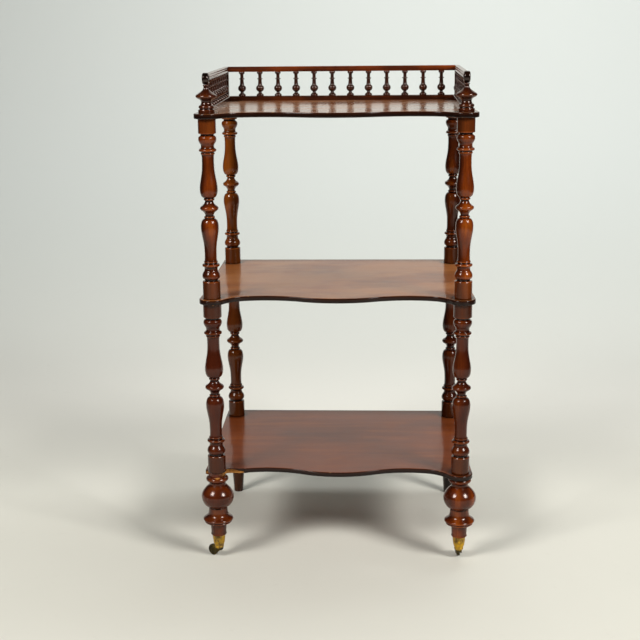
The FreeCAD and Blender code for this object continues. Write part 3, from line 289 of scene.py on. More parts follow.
# ------------------------------------------------------------------ node help
class Net:
    def __init__(self, name):
        self.mat = bpy.data.materials.new(name)
        self.mat.use_nodes = True
        self.nt = self.mat.node_tree
        self.nt.nodes.clear()
        self.out = self.nt.nodes.new("ShaderNodeOutputMaterial")
        self.bsdf = self.nt.nodes.new("ShaderNodeBsdfPrincipled")
        self.nt.links.new(self.bsdf.outputs[0], self.out.inputs[0])

    def new(self, kind):
        return self.nt.nodes.new(kind)

    def put(self, value, sock):
        if isinstance(value, bpy.types.NodeSocket):
            self.nt.links.new(value, sock)
        elif value is not None:
            if hasattr(sock.default_value, "__len__") and not hasattr(value, "__len__"):
                value = [value] * len(sock.default_value)
            if hasattr(value, "__len__") and len(sock.default_value) == 4 and len(value) == 3:
                value = tuple(value) + (1.0,)
            sock.default_value = value

    def math(self, op, a, b=None, c=None, clamp=False):
        n = self.new("ShaderNodeMath")
        n.operation = op
        n.use_clamp = clamp
        for v, s in zip((a, b, c), n.inputs):
            self.put(v, s)
        return n.outputs[0]

    def vec(self, op, a, b=None, scale=None):
        n = self.new("ShaderNodeVectorMath")
        n.operation = op
        self.put(a, n.inputs[0])
        if b is not None:
            self.put(b, n.inputs[1])
        if scale is not None:
            self.put(scale, n.inputs["Scale"])
        return n.outputs["Value"] if op in ("LENGTH", "DISTANCE", "DOT_PRODUCT") else n.outputs[0]

    def pos(self):
        n = self.new("ShaderNodeTexCoord")
        return n.outputs["Object"]

    def mapping(self, vector, loc=(0, 0, 0), rot=(0, 0, 0), scale=(1, 1, 1)):
        n = self.new("ShaderNodeMapping")
        self.put(vector, n.inputs["Vector"])
        n.inputs["Location"].default_value = loc
        n.inputs["Rotation"].default_value = rot
        n.inputs["Scale"].default_value = scale
        return n.outputs[0]

    def noise(self, vector, scale=1.0, detail=3.0, rough=0.5, distort=0.0):
        n = self.new("ShaderNodeTexNoise")
        self.put(vector, n.inputs["Vector"])
        n.inputs["Scale"].default_value = scale
        n.inputs["Detail"].default_value = detail
        n.inputs["Roughness"].default_value = rough
        n.inputs["Distortion"].default_value = distort
        return n.outputs["Fac"]

    def voronoi(self, vector, scale=1.0, feature="F1"):
        n = self.new("ShaderNodeTexVoronoi")
        n.feature = feature
        self.put(vector, n.inputs["Vector"])
        n.inputs["Scale"].default_value = scale
        return n.outputs["Distance"]

    def ramp(self, fac, stops, interp="LINEAR"):
        n = self.new("ShaderNodeValToRGB")
        n.color_ramp.interpolation = interp
        e = n.color_ramp.elements
        while len(e) < len(stops):
            e.new(0.5)
        for el, (p, c) in zip(e, stops):
            el.position = p
            el.color = tuple(c) + (1.0,) if len(c) == 3 else c
        self.put(fac, n.inputs[0])
        return n.outputs[0]

    def step(self, value, lo, hi, a=0.0, b=1.0):
        n = self.new("ShaderNodeMapRange")
        n.interpolation_type = "SMOOTHSTEP"
        self.put(value, n.inputs["Value"])
        n.inputs["From Min"].default_value = lo
        n.inputs["From Max"].default_value = hi
        n.inputs["To Min"].default_value = a
        n.inputs["To Max"].default_value = b
        return n.outputs["Result"]

    def mix(self, fac, a, b, blend="MIX"):
        n = self.new("ShaderNodeMix")
        n.data_type = "RGBA"
        n.blend_type = blend
        n.clamp_factor = True
        self.put(fac, n.inputs[0])
        self.put(a, n.inputs[6])
        self.put(b, n.inputs[7])
        return n.outputs[2]

    def attr(self, name):
        n = self.new("ShaderNodeAttribute")
        n.attribute_name = name
        return n.outputs["Fac"]

    def split(self, vector):
        n = self.new("ShaderNodeSeparateXYZ")
        self.put(vector, n.inputs[0])
        return n.outputs

    def join(self, x, y, z):
        n = self.new("ShaderNodeCombineXYZ")
        for v, s in zip((x, y, z), n.inputs):
            self.put(v, s)
        return n.outputs[0]

    def normal(self):
        return self.new("ShaderNodeNewGeometry").outputs["Normal"]

    def true_normal(self):
        return self.new("ShaderNodeNewGeometry").outputs["True Normal"]

    def bump(self, height, distance, strength=1.0, chain=None):
        n = self.new("ShaderNodeBump")
        n.inputs["Strength"].default_value = strength
        n.inputs["Distance"].default_value = distance
        self.put(height, n.inputs["Height"])
        if chain is not None:
            self.put(chain, n.inputs["Normal"])
        return n.outputs[0]

    def surface(self, color=None, rough=None, normal=None, **consts):
        b = self.bsdf
        self.put(color, b.inputs["Base Color"])
        self.put(rough, b.inputs["Roughness"])
        if normal is not None:
            self.put(normal, b.inputs["Normal"])
        for k, v in consts.items():
            self.put(v, b.inputs[k.replace("_", " ")])
        return self.mat


# ------------------------------------------------------------------ materials
DARK = (0.0085, 0.0018, 0.0006)
DEEP = (0.042, 0.0078, 0.0012)
MID = (0.145, 0.0280, 0.0028)
WARM = (0.400, 0.1080, 0.0085)
PALE = (0.520, 0.270, 0.075)
DULL = (0.085, 0.0270, 0.0060)
TAN = (0.420, 0.2050, 0.0950)
PLUM = (0.070, 0.0130, 0.0042)
YELLOW = (0.270, 0.0900, 0.0085)


def turned_wood(name, centre, seed, tone=1.0, fibre="Z", cav=True, coarse=1.0, spots=(), ends=None, gold=0.0, red=0.0,
                coat=0.42, sheen=0.17):
    """French polished mahogany, fibre along the turning axis.
    centre: the axis of the piece, metres."""
    g = Net(name)
    p = g.mapping(g.pos(), loc=(-centre[0], -centre[1], -centre[2]))
    rng = random.Random(seed)
    shift = (rng.uniform(-3, 3), rng.uniform(-3, 3), rng.uniform(-3, 3))
    along = {"X": 0, "Y": 1, "Z": 2}[fibre]
    def stretched(across, down, extra=0.0):
        s = [across] * 3
        s[along] = down
        return g.mapping(p, loc=tuple(v * 7.3 + extra for v in shift), scale=tuple(s))
    # slow drift of the growth layers, cut open by the turning
    drift = g.noise(stretched(9.0, 2.2), 1.0, 2.0, 0.5)
    xyz = g.split(p)
    ang = rng.uniform(0, math.pi)
    others = [i for i in range(3) if i != along]
    flat = g.math("ADD", g.math("MULTIPLY", xyz[others[0]], math.cos(ang)),
                  g.math("MULTIPLY", xyz[others[1]], math.sin(ang)))
    lay = g.math("ADD", g.math("MULTIPLY", flat, 175.0 * coarse), g.math("MULTIPLY", drift, 9.0))
    rings = g.math("MULTIPLY", g.math("ADD", g.math("SINE", lay), 1.0), 0.5)
    fine = g.noise(stretched(330.0, 9.0, 1.7), 1.0, 3.0, 0.6)
    broad = g.noise(stretched(26.0, 4.5, 4.1), 1.0, 3.0, 0.55)
    mottle = g.noise(g.mapping(p, loc=shift, scale=(16, 16, 11)), 1.0, 3.0, 0.55)
    v = g.math("ADD", g.math("MULTIPLY", rings, 0.20), g.math("MULTIPLY", fine, 0.18))
    v = g.math("ADD", v, g.math("MULTIPLY", broad, 0.42))
    v = g.math("ADD", v, g.math("MULTIPLY", mottle, 0.30))
    v = g.math("SUBTRACT", v, 0.10)
    col = g.ramp(v, [(0.0, [c * tone for c in DARK]), (0.34, [c * tone for c in DEEP]),
                     (0.50, [c * tone for c in MID]), (0.68, [c * tone for c in WARM]),
                     (1.0, [c * tone * 1.25 for c in WARM])])
    # open pores, short and dark
    pore = g.noise(stretched(1500.0, 55.0, 2.9), 1.0, 1.0, 0.4)
    pores = g.step(pore, 0.60, 0.72)
    col = g.mix(g.math("MULTIPLY", pores, 0.38), col, [c * 0.35 for c in DEEP])
    rough = g.math("ADD", g.math("MULTIPLY", mottle, 0.10), 0.13)
    if gold:
        col = g.mix(g.math("MULTIPLY", g.step(broad, 0.30, 0.62), gold), col, [k * min(tone * 1.2, 1.0) for k in YELLOW])
    if red:
        col = g.mix(g.math("MULTIPLY", g.step(mottle, 0.25, 0.60, 0.6, 1.0), red), col, PLUM)
    if ends:
        # the plain ends are worn dull by hands and dusters
        up = g.math("ABSOLUTE", g.math("SUBTRACT", g.split(g.pos())[2], ends * MM))
        up = g.math("ADD", up, g.math("MULTIPLY", g.math("SUBTRACT", mottle, 0.5), 0.012))
        worn = g.step(up, 0.160, 0.168)
        col = g.mix(g.math("MULTIPLY", worn, 0.50), col, [k * tone for k in DULL])
        rough = g.math("ADD", rough, g.math("MULTIPLY", worn, 0.12))
    if cav:
        # darker in the grooves: partly old polish, partly painted shade; paler on the ridges, where the polish is worn
        c = g.attr("cav")
        ragged = g.math("MULTIPLY", g.math("SUBTRACT", mottle, 0.5), 0.9)
        groove = g.step(g.math("ADD", c, ragged), -0.02, 0.50)
        col = g.mix(g.math("MULTIPLY", groove, 0.93), col, [c_ * 0.55 for c_ in DARK])
        rough = g.math("ADD", rough, g.math("MULTIPLY", groove, 0.22))
        ridge = g.step(g.math("SUBTRACT", g.math("MULTIPLY", c, -1.0), ragged), 0.10, 0.95)
        col = g.mix(g.math("MULTIPLY", ridge, 0.42), col, [k * tone * 1.25 for k in WARM])
    # rubbed spots where the wood shows
    for (x, y, z, r, amount) in spots:
        d = g.vec("DISTANCE", g.pos(), (x * MM, y * MM, z * MM))
        d = g.math("ADD", d, g.math("MULTIPLY", g.math("SUBTRACT", fine, 0.5), r * MM * 1.2))
        bare = g.step(d, r * MM, r * MM * 0.35)
        col = g.mix(g.math("MULTIPLY", bare, amount), col, PALE)
        rough = g.math("ADD", rough, g.math("MULTIPLY", bare, 0.2))
    bump = g.bump(g.math("SUBTRACT", g.math("MULTIPLY", fine, 0.5), g.math("MULTIPLY", pores, 0.8)), 0.00008, 0.35)
    bump = g.bump(g.noise(g.mapping(p, loc=shift, scale=(60, 60, 45)), 1.0, 2.0, 0.5), 0.0009, 0.12, bump)
    # the shellac itself is brown, so the wood is seen through it and goes
    # darker where it turns away
    col = g.vec("MULTIPLY", col, (2.15, 3.7, 6.6))
    col = g.vec("MINIMUM", col, (0.92, 0.92, 0.92))
    return g.surface(col, rough, bump, IOR=1.5, Specular_IOR_Level=coat * 0.35,
                     Specular_Tint=(1.0, 0.70, 0.50, 1.0), Coat_Weight=1.0, Coat_IOR=1.35 + 0.12 * coat,
                     Coat_Roughness=sheen, Coat_Tint=(0.43, 0.22, 0.11, 1.0))


def board_wood(name, seed, z0, tone=1.0, tan=0.5, spots=(), broken=False, face=None, gloss=0.56, haze=0.10):
    """Wide mahogany board, fibre from side to side, French polished."""
    g = Net(name)
    p = g.pos()
    rng = random.Random(seed)
    shift = (rng.uniform(-3, 3), rng.uniform(-3, 3), rng.uniform(-3, 3))
    bend = g.noise(g.mapping(p, loc=shift, scale=(1.6, 5.0, 5.0)), 1.0, 2.0, 0.5)
    xyz = g.split(p)
    lay = g.math("ADD", g.math("MULTIPLY", xyz[1], 150.0), g.math("MULTIPLY", bend, 22.0))
    rings = g.math("MULTIPLY", g.math("ADD", g.math("SINE", lay), 1.0), 0.5)
    fine = g.noise(g.mapping(p, loc=shift, scale=(9.0, 380.0, 380.0)), 1.0, 3.0, 0.6)
    broad = g.noise(g.mapping(p, loc=shift, scale=(2.6, 30.0, 30.0)), 1.0, 3.0, 0.55)
    mottle = g.noise(g.mapping(p, loc=shift, scale=(9, 12, 12)), 1.0, 4.0, 0.6)
    v = g.math("ADD", g.math("MULTIPLY", rings, 0.04), g.math("MULTIPLY", fine, 0.22))
    v = g.math("ADD", v, g.math("MULTIPLY", broad, 0.22))
    v = g.math("ADD", v, g.math("MULTIPLY", mottle, 0.38))
    v = g.math("ADD", v, 0.06)
    col = g.ramp(v, [(0.0, [c * tone for c in DARK]), (0.28, [c * tone for c in DEEP]),
                     (0.50, [c * tone for c in MID]), (0.78, [c * tone for c in WARM]),
                     (1.0, [c * tone * 1.3 for c in WARM])])
    pore = g.noise(g.mapping(p, loc=shift, scale=(70.0, 1700.0, 1700.0)), 1.0, 1.0, 0.4)
    pores = g.step(pore, 0.60, 0.72)
    col = g.mix(g.math("MULTIPLY", pores, 0.35), col, [c * 0.4 for c in DEEP])
    n = g.split(g.normal())
    nz = g.math("ABSOLUTE", n[2])
    cloud = g.noise(g.mapping(p, loc=shift, scale=(4.4, 7.0, 3.0)), 1.0, 4.0, 0.6)
    # the up-facing faces turn paler in clouds towards the face colour: painted reflection of the pale wall on the tops
    painted_top_reflection = g.math("MULTIPLY", g.step(n[2], 0.8, 0.98), g.step(cloud, 0.34, 0.62, tan * 0.42, tan))
    painted_top_reflection = g.math("MULTIPLY", painted_top_reflection, g.step(fine, 0.20, 0.70, 0.80, 1.0))
    col = g.mix(painted_top_reflection, col, face or TAN)
    for px in (-POST_X, POST_X):
        for py in (YF, YR):
            d = g.vec("DISTANCE", g.vec("MULTIPLY", p, (1.0, 1.0, 0.0)), (px * MM, py * MM, 0.0))
            d = g.math("ADD", d, g.math("MULTIPLY", g.math("SUBTRACT", mottle, 0.5), 0.016))
            col = g.mix(g.math("MULTIPLY", g.step(d, 0.036, 0.020), 0.75), col, [c * 0.8 for c in DARK])
    back = g.math("ADD", xyz[1], g.math("MULTIPLY", g.math("SUBTRACT", cloud, 0.5), 0.05))
    col = g.mix(g.math("MULTIPLY", g.step(back, 0.205, 0.250), 0.60), col, [c * 0.8 for c in DEEP])
    edge = g.math("SUBTRACT", 1.0, g.step(nz, 0.70, 0.985))
    col = g.mix(g.math("MULTIPLY", edge, 0.96), col, [c * 0.32 for c in DEEP])
    # the lower part of the edge is painted near black: painted shade where the edge turns down, away from the lamps
    low = g.math("ADD", xyz[2], g.math("MULTIPLY", g.math("SUBTRACT", mottle, 0.5), 0.004))
    low = g.step(low, (z0 + BOARD_T * 0.72) * MM, (z0 + BOARD_T * 0.42) * MM)
    col = g.mix(g.math("MULTIPLY", g.math("MULTIPLY", edge, low), 0.9), col, [c * 0.7 for c in DARK])
    ar = g.math("MULTIPLY", g.step(nz, 0.35, 0.70), g.math("SUBTRACT", 1.0, g.step(nz, 0.86, 0.985)))
    rub = g.step(mottle, 0.46, 0.62)
    col = g.mix(g.math("MULTIPLY", g.math("MULTIPLY", ar, rub), 0.10), col, WARM)
    # small chips along the arris
    chip = g.step(g.noise(g.mapping(p, loc=shift, scale=(95, 95, 95)), 1.0, 2.0, 0.5), 0.665, 0.70)
    col = g.mix(g.math("MULTIPLY", g.math("MULTIPLY", ar, chip), 0.6), col, PALE)
    rough = g.math("ADD", g.math("MULTIPLY", mottle, 0.18), 0.30)
    if broken:
        # clean wood on the split, from its lower edge up to a line short of its top
        tn = g.split(g.true_normal())
        side = g.math("SUBTRACT", 1.0, g.step(g.math("ABSOLUTE", tn[2]), 0.3, 0.6))
        area_x = g.math("MULTIPLY", g.step(xyz[0], -0.3075, -0.3060), g.step(xyz[0], -0.2185, -0.2200))
        area_y = g.step(xyz[1], -0.1975, -0.1982)
        bare = g.math("MULTIPLY", side, g.math("MULTIPLY", area_x, area_y))
        up = g.math("ADD", xyz[2], g.math("MULTIPLY", g.math("SUBTRACT", mottle, 0.5), 0.008))
        # it thins out to the right
        top_line = g.math("ADD", up, g.math("MULTIPLY", g.step(xyz[0], -0.2450, -0.2190), 0.0045))
        bare = g.math("MULTIPLY", bare, g.step(top_line, (z0 + 9.2) * MM, (z0 + 7.6) * MM))
        # the lobe under the post keeps old red polish on its left half
        lobe = g.math("MULTIPLY", g.step(xyz[1], -0.2060, -0.2090), g.step(xyz[0], -0.3040, -0.3000))
        patch = g.math("ADD", mottle, g.math("MULTIPLY", g.math("ADD", xyz[0], 0.278), 14.0))
        kept = g.math("MULTIPLY", lobe, g.step(patch, 0.62, 0.40))
        col = g.mix(g.math("MULTIPLY", side, kept), col, (0.100, 0.0200, 0.0070))
        bare = g.math("MULTIPLY", bare, g.math("SUBTRACT", 1.0, kept))
        grain = g.mix(g.step(fine, 0.38, 0.62), (0.130, 0.042, 0.010), (0.440, 0.205, 0.050))
        col = g.mix(bare, col, grain)
        rough = g.math("ADD", rough, g.math("MULTIPLY", bare, 0.4))
    for (x, y, z, rx, ry, rz, amount) in spots:
        q = g.vec("SUBTRACT", p, (x * MM, y * MM, z * MM))
        q = g.vec("MULTIPLY", q, (1 / (rx * MM), 1 / (ry * MM), 1 / (rz * MM)))
        d = g.vec("LENGTH", q)
        d = g.math("ADD", d, g.math("MULTIPLY", g.math("SUBTRACT", fine, 0.5), 1.1))
        bare = g.step(d, 1.0, 0.45)
        col = g.mix(g.math("MULTIPLY", bare, amount), col, PALE)
        rough = g.math("ADD", rough, g.math("MULTIPLY", bare, 0.2))
    bump = g.bump(g.math("SUBTRACT", g.math("MULTIPLY", fine, 0.5), g.math("MULTIPLY", pores, 0.8)), 0.00010, 0.5)
    bump = g.bump(g.noise(g.mapping(p, loc=shift, scale=(22, 30, 30)), 1.0, 2.0, 0.5), 0.0012, 0.10, bump)
    haze = g.step(cloud, 0.35, 0.70, haze * 0.8, haze * 1.5)
    if broken:
        gloss = g.math("SUBTRACT", gloss, g.math("MULTIPLY", bare, gloss))
    return g.surface(col, rough, bump, Coat_Weight=gloss, Coat_Roughness=haze, Coat_IOR=1.5,
                     IOR=1.45, Specular_IOR_Level=0.06)


def aged_brass(name, seed, dull=0.0, soot=0.0):
    g = Net(name)
    p = g.pos()
    rng = random.Random(seed)
    shift = (rng.uniform(-3, 3), rng.uniform(-3, 3), rng.uniform(-3, 3))
    big = g.noise(g.mapping(p, loc=shift, scale=(62, 62, 48)), 1.0, 3.0, 0.5)
    small = g.noise(g.mapping(p, loc=shift, scale=(420, 420, 420)), 1.0, 3.0, 0.6)
    col = g.ramp(g.math("ADD", g.math("MULTIPLY", big, 0.8), g.math("MULTIPLY", small, 0.25)),
                 [(0.30, (0.100, 0.058, 0.018)), (0.45, (0.33, 0.20, 0.055)),
                  (0.60, (0.64, 0.37, 0.028)), (0.85, (0.82, 0.54, 0.060))])
    dark = g.step(g.math("ADD", big, -dull), 0.50, 0.34)
    col = g.mix(g.math("MULTIPLY", dark, 0.62), col, (0.060, 0.036, 0.022))
    if soot:
        col = g.mix(g.math("MULTIPLY", g.step(big, 0.70, 0.58, 0.90, 1.0), soot), col, (0.034, 0.031, 0.016))
    rough = g.math("ADD", g.math("MULTIPLY", small, 0.25), 0.26)
    bump = g.bump(small, 0.0002, 0.35)
    return g.surface(col, rough, bump, Metallic=1.0)


def plain_steel(name):
    g = Net(name)
    p = g.pos()
    n = g.noise(g.mapping(p, scale=(600, 600, 600)), 1.0, 3.0, 0.6)
    col = g.ramp(n, [(0.3, (0.10, 0.09, 0.085)), (0.7, (0.30, 0.29, 0.28))])
    return g.surface(col, g.math("ADD", g.math("MULTIPLY", n, 0.2), 0.35), None, Metallic=1.0)


def bare_beech(name):
    g = Net(name)
    p = g.pos()
    n = g.noise(g.mapping(p, scale=(500, 500, 20)), 1.0, 3.0, 0.6)
    col = g.ramp(n, [(0.3, (0.42, 0.27, 0.14)), (0.7, (0.62, 0.45, 0.27))])
    return g.surface(col, 0.6, None)


# ------------------------------------------------------------------ posts
half = curve(POST_HALF)
post_pts = [(r, -h) for r, h in reversed(half)] + half[1:]


def post_profile(girth):
    end_r = POST_HALF[-1][1]
    pts = [(end_r, 0.0)] + [(r, h + POST_MID) for r, h in post_pts] + [(end_r, POST_L)]
    return refine(soften([(r * girth, h) for r, h in pts]))


def post(name, x, y, z, girth, seed, tone, spots=(), gold=0.0, red=0.0, coat=0.42):
    me = Mesh()
    me.lathe(post_profile(girth), (x, y, z), seg=80, phase=seed * 0.37, wobble=0.06)
    ob = me.make(name + "_turned")
    mat = turned_wood(name + "_wood", (x * MM, y * MM, z * MM), seed, tone, spots=spots,
                      ends=z + POST_MID, gold=gold, red=red, coat=coat)
    return piece(ob, "carcase", [name], mat)


seed = 10
for row, y in (("front", YF), ("rear", YR)):
    for side, sgn in SIDES:
        gold = 0.7 if (row, side) == ("rear", "left") else 0.0
        low, high = {("front", "left"): (0.52, 1.05), ("front", "right"): (0.62, 0.98),
                     ("rear", "left"): (0.60, 1.05), ("rear", "right"): (0.32, 0.55)}[(row, side)]
        post("lower_post_%s_%s" % (row, side), POST_X * sgn, y, Z_BOTTOM + BOARD_T, LOWER_GIRTH, seed, low,
             gold=gold * 0.6, red=0.75 if (row, side) == ("front", "left") else 0.45, coat=0.22)
        post("upper_post_%s_%s" % (row, side), POST_X * sgn, y, Z_MIDDLE + BOARD_T, UPPER_GIRTH, seed + 1, high,
             gold=gold)
        seed += 2

# ------------------------------------------------------------------ feet and legs
for side, sgn in SIDES:
    seed += 1
    pts = [(13.4, 56.4)] + curve(FOOT) + [(FOOT[-1][1], Z_BOTTOM)]
    pts = [(9.6, 30.5)] + pts
    bare_top = ()
    if side == "left":
        # the spigot shows where the corner of the board is gone
        pts += [(9.0, Z_BOTTOM), (9.0, Z_BOTTOM + BOARD_T + 1.0)]
        bare_top = [(-POST_X, YF, Z_BOTTOM + 9.0, 13.0, 0.95), (-POST_X + 3.0, YF - 19.0, 202.0, 7.5, 0.85)]
    me = Mesh()
    me.lathe(refine(soften(pts)), (POST_X * sgn, YF, 0), seg=96, wobble=0.06, phase=seed)
    piece(me.make("front_foot_%s_turned" % side), "carcase", ["front_foot_" + side],
          turned_wood("front_foot_%s_wood" % side, (POST_X * sgn * MM, YF * MM, 0), seed, 0.66 if side == "left" else 1.05, spots=bare_top,
                      red=0.55 if side == "left" else 0.30, coat=0.52))
    seed += 1
    pts = curve(REAR_LEG) + [(REAR_LEG[-1][1], Z_BOTTOM)]
    me = Mesh()
    me.lathe(refine(soften(pts), 6.0), (POST_X * sgn, YR, 0), seg=72, wobble=0.06, phase=seed)
    piece(me.make("rear_leg_%s_turned" % side), "carcase", ["rear_leg_" + side],
          turned_wood("rear_leg_%s_wood" % side, (POST_X * sgn * MM, YR * MM, 0), seed,
                      0.26 if side == "left" else 0.08, gold=0.7 if side == "left" else 0.0))

    # finial
    seed += 1
    pts = curve(FINIAL)
    me = Mesh()
    me.lathe(refine(soften(pts)), (POST_X * sgn, YF, 0), seg=72, wobble=0.04, phase=seed)
    piece(me.make("finial_%s_turned" % side), "carcase", ["finial_" + side],
          turned_wood("finial_%s_wood" % side, (POST_X * sgn * MM, YF * MM, 1.03), seed, 0.32, red=0.3, coat=1.15))

    # scroll drum at the front end of the side rail
    seed += 1
    R, H, c = 12.4, 14.0, 3.8
    pts = [(R * 0.50, 0.9), (R * 0.55, 0.9), (R * 0.62, 0.0), (R - c, 0.0)]
    pts += arc_points((R - c, 0.0), (R, c), c, True)
    pts += [(R, H - c)]
    pts += arc_points((R, H - c), (R - c, H), c, True)
    pts += [(R * 0.62, H), (R * 0.55, H - 0.9), (R * 0.50, H - 0.9)]
    me = Mesh()
    me.lathe(soften(pts, 0.3), (POST_X * sgn - H / 2, YF, DRUM_Z), axis="X", seg=64)
    piece(me.make("rail_drum_%s_turned" % side), "carcase", ["rail_drum_" + side],
          turned_wood("rail_drum_%s_wood" % side, (POST_X * sgn * MM, YF * MM, DRUM_Z * MM), seed, 0.035, fibre="X", coat=1.3))

# ------------------------------------------------------------------ spindles
spin = refine(soften([(SPINDLE[0][1], LOW_TOP)] + curve(SPINDLE), 0.3), 2.0)


def spindles(name, places, s):
    me = Mesh()
    for k, (x, y) in enumerate(places):
        me.lathe(spin, (x, y, 0), seg=36, phase=k * 0.9)
    ob = me.make(name + "_turned")
    return piece(ob, "carcase", [name], turned_wood(name + "_wood", (0, 0, 1.03), s, 0.11, red=0.35, coat=1.5))


spindles("back_spindles", [(45.3 * (k + 0.5), GY) for k in range(-6, 6)], 61)
for side, sgn in SIDES:
    spindles("side_spindles_" + side,
             [((POST_X + (GX - POST_X) * 45.5 * k / (GY - YF)) * sgn, YF + 45.5 * k) for k in range(1, 10)],
             62 + int(sgn))

# ------------------------------------------------------------------ boards
HALF_LINE = [
    (0.0, -8.0, None, True), (80.0, 7.5, 214.2, True), (205.0, 18.5, 215.7, False),
    (252.95, -16.25, 72.4, False), (308.0, -1.5, 29.5, True), (305.5, 60.0, None, True),
    (306.5, 462.0, None, True), (298.5, 470.0, 8.0, True), (0.0, 470.0, None, True),
]


def outline():
    pts = [(HALF_LINE[0][0], HALF_LINE[0][1])]
    for a, b in zip(HALF_LINE, HALF_LINE[1:]):
        if b[2] is None:
            n = max(1, int(math.hypot(b[0] - a[0], b[1] - a[1]) / 40))
            pts += [(a[0] + (b[0] - a[0]) * k / n, a[1] + (b[1] - a[1]) * k / n) for k in range(1, n + 1)]
        else:
            pts += arc_points((a[0], a[1]), (b[0], b[1]), b[2], b[3], 1.6)
    left = [(-x, y) for x, y in reversed(pts[1:-1])]
    return [(x, y + YF) for x, y in pts + left]


def inset(pts, d):
    """The outline moved inwards by d (counterclockwise outline)."""
    out = []
    n = len(pts)
    for i in range(n):
        a, b, c = Vector(pts[i - 1]), Vector(pts[i]), Vector(pts[(i + 1) % n])
        n1 = Vector((b - a).yx) ; n1.x, n1.y = (b - a).y, -(b - a).x
        n2 = Vector((c - b).yx) ; n2.x, n2.y = (c - b).y, -(c - b).x
        n1.normalize(); n2.normalize()
        k = n1 + n2
        k = k / max(k.dot(n1), 0.3)
        p = b - k * d
        out.append((p.x, p.y))
    return out


BREAK = [(-219.0, -199.3), (-232.0, -200.6), (-246.0, -200.0), (-258.0, -201.0), (-262.4, -206.5),
         (-264.0, -217.5), (-269.0, -226.5), (-279.0, -233.4), (-289.5, -230.5), (-296.0, -222.5),
         (-299.0, -213.0), (-306.0, -208.0)]


def split_off(line):
    """The outline without the broken front left corner, and which of its
    points lie on the split."""
    rng = random.Random(5)
    ragged = []
    for (ax, ay), (bx, by) in zip(BREAK, BREAK[1:]):
        n = max(2, int(math.hypot(bx - ax, by - ay) / 1.5))
        for k in range(n):
            f = k / n
            j = rng.uniform(-0.5, 0.5) if 0 < k else 0.0
            ragged.append((ax + (bx - ax) * f, ay + (by - ay) * f + j))
    ragged.append(BREAK[-1])
    out, marks, done = [], [], False
    for x, y in line:
        if x < BREAK[0][0] and y < -208.0:
            gone = True
        else:
            gone = x < BREAK[0][0] and y < -199.0
        if gone:
            if not done:
                done = True
                if math.hypot(out[-1][0] + 307.66, out[-1][1] + 208.0) > 2.0:
                    out.append((-307.66, -208.0)); marks.append(False)
                for q in reversed(ragged):
                    out.append(q); marks.append(True)
            continue
        out.append((x, y)); marks.append(False)
    return out, marks


def board(name, z0, mat, broken=False):
    line = outline()
    marks = [False] * len(line)
    if broken:
        line, marks = split_off(line)
    r = 1.8
    levels = []
    for k in range(5):
        a = math.pi / 2 * k / 4
        levels.append((r * (1 - math.sin(a)), r * (1 - math.cos(a))))
    levels = [(3.0, 0.0)] + levels + [(0.0, BOARD_T * 0.35), (0.0, BOARD_T * 0.65)]
    for k in range(5):
        a = math.pi / 2 * k / 4
        levels.append((r * (1 - math.cos(a)), BOARD_T - r * (1 - math.sin(a))))
    levels.append((3.0, BOARD_T))
    me = Mesh()
    n = len(line)
    rng = random.Random(9)
    tips = [q for q, m in zip(line, marks) if m]
    tips = [tips[0], tips[-1]] if tips else []
    for d, h in levels:
        ring = inset(line, d) if d > 0 else line
        for (x, y), (x0, y0), mark in zip(ring, line, marks):
            if mark:
                x, y = x0, y0 + rng.uniform(-0.12, 0.12)
            elif tips:
                # the rounding fades out where the split begins
                w = min(1.0, min(math.dist((x0, y0), q) for q in tips) / 9.0)
                x, y = x0 + (x - x0) * w, y0 + (y - y0) * w
            me.v.append((x * MM, y * MM, (z0 + h) * MM))
            me.cav.append(0.0)
    for i in range(len(levels) - 1):
        for k in range(n):
            a, b = i * n + k, i * n + (k + 1) % n
            me.f.append((a, b, b + n, a + n))
    sides = len(me.f)
    base = (len(levels) - 1) * n
    for first, up in ((0, False), (base, True)):
        flat = [Vector((v[0], v[1])) for v in me.v[first:first + n]]
        cut = delaunay_2d_cdt(flat, [], [list(range(n))], 1, 1e-7)
        if len(cut[0]) != n:
            raise RuntimeError("the outline of %s crosses itself" % name)
        for tri in cut[2]:
            tri = [first + cut[3][k][0] for k in tri]
            me.f.append(tuple(tri if up else reversed(tri)))
    ob = me.make(name + "_board")
    for f in range(sides, len(ob.data.polygons)):
        ob.data.polygons[f].use_smooth = False
    if broken:
        for f in range(sides):
            k = f % n
            if marks[k] and marks[(k + 1) % n]:
                ob.data.polygons[f].use_smooth = False
    return piece(ob, "carcase", [name], mat)


board("top_shelf", Z_TOP, board_wood("top_shelf_wood", 71, Z_TOP, 1.1, 0.75, gloss=0.74, haze=0.105))
board("middle_shelf", Z_MIDDLE, board_wood("middle_shelf_wood", 72, Z_MIDDLE, 1.0, 0.80, face=(0.400, 0.1640, 0.0520), gloss=0.50))
board("bottom_shelf", Z_BOTTOM, board_wood("bottom_shelf_wood", 73, Z_BOTTOM, 0.85, 0.55, broken=True,
                                                face=(0.200, 0.0520, 0.0170), gloss=0.46), broken=True)

# ------------------------------------------------------------------ carried-over pieces
def paint(node, mat):
    ob = NODES[node]
    ob.data.materials.clear()
    ob.data.materials.append(mat)
    for p in ob.data.polygons:
        p.material_index = 0


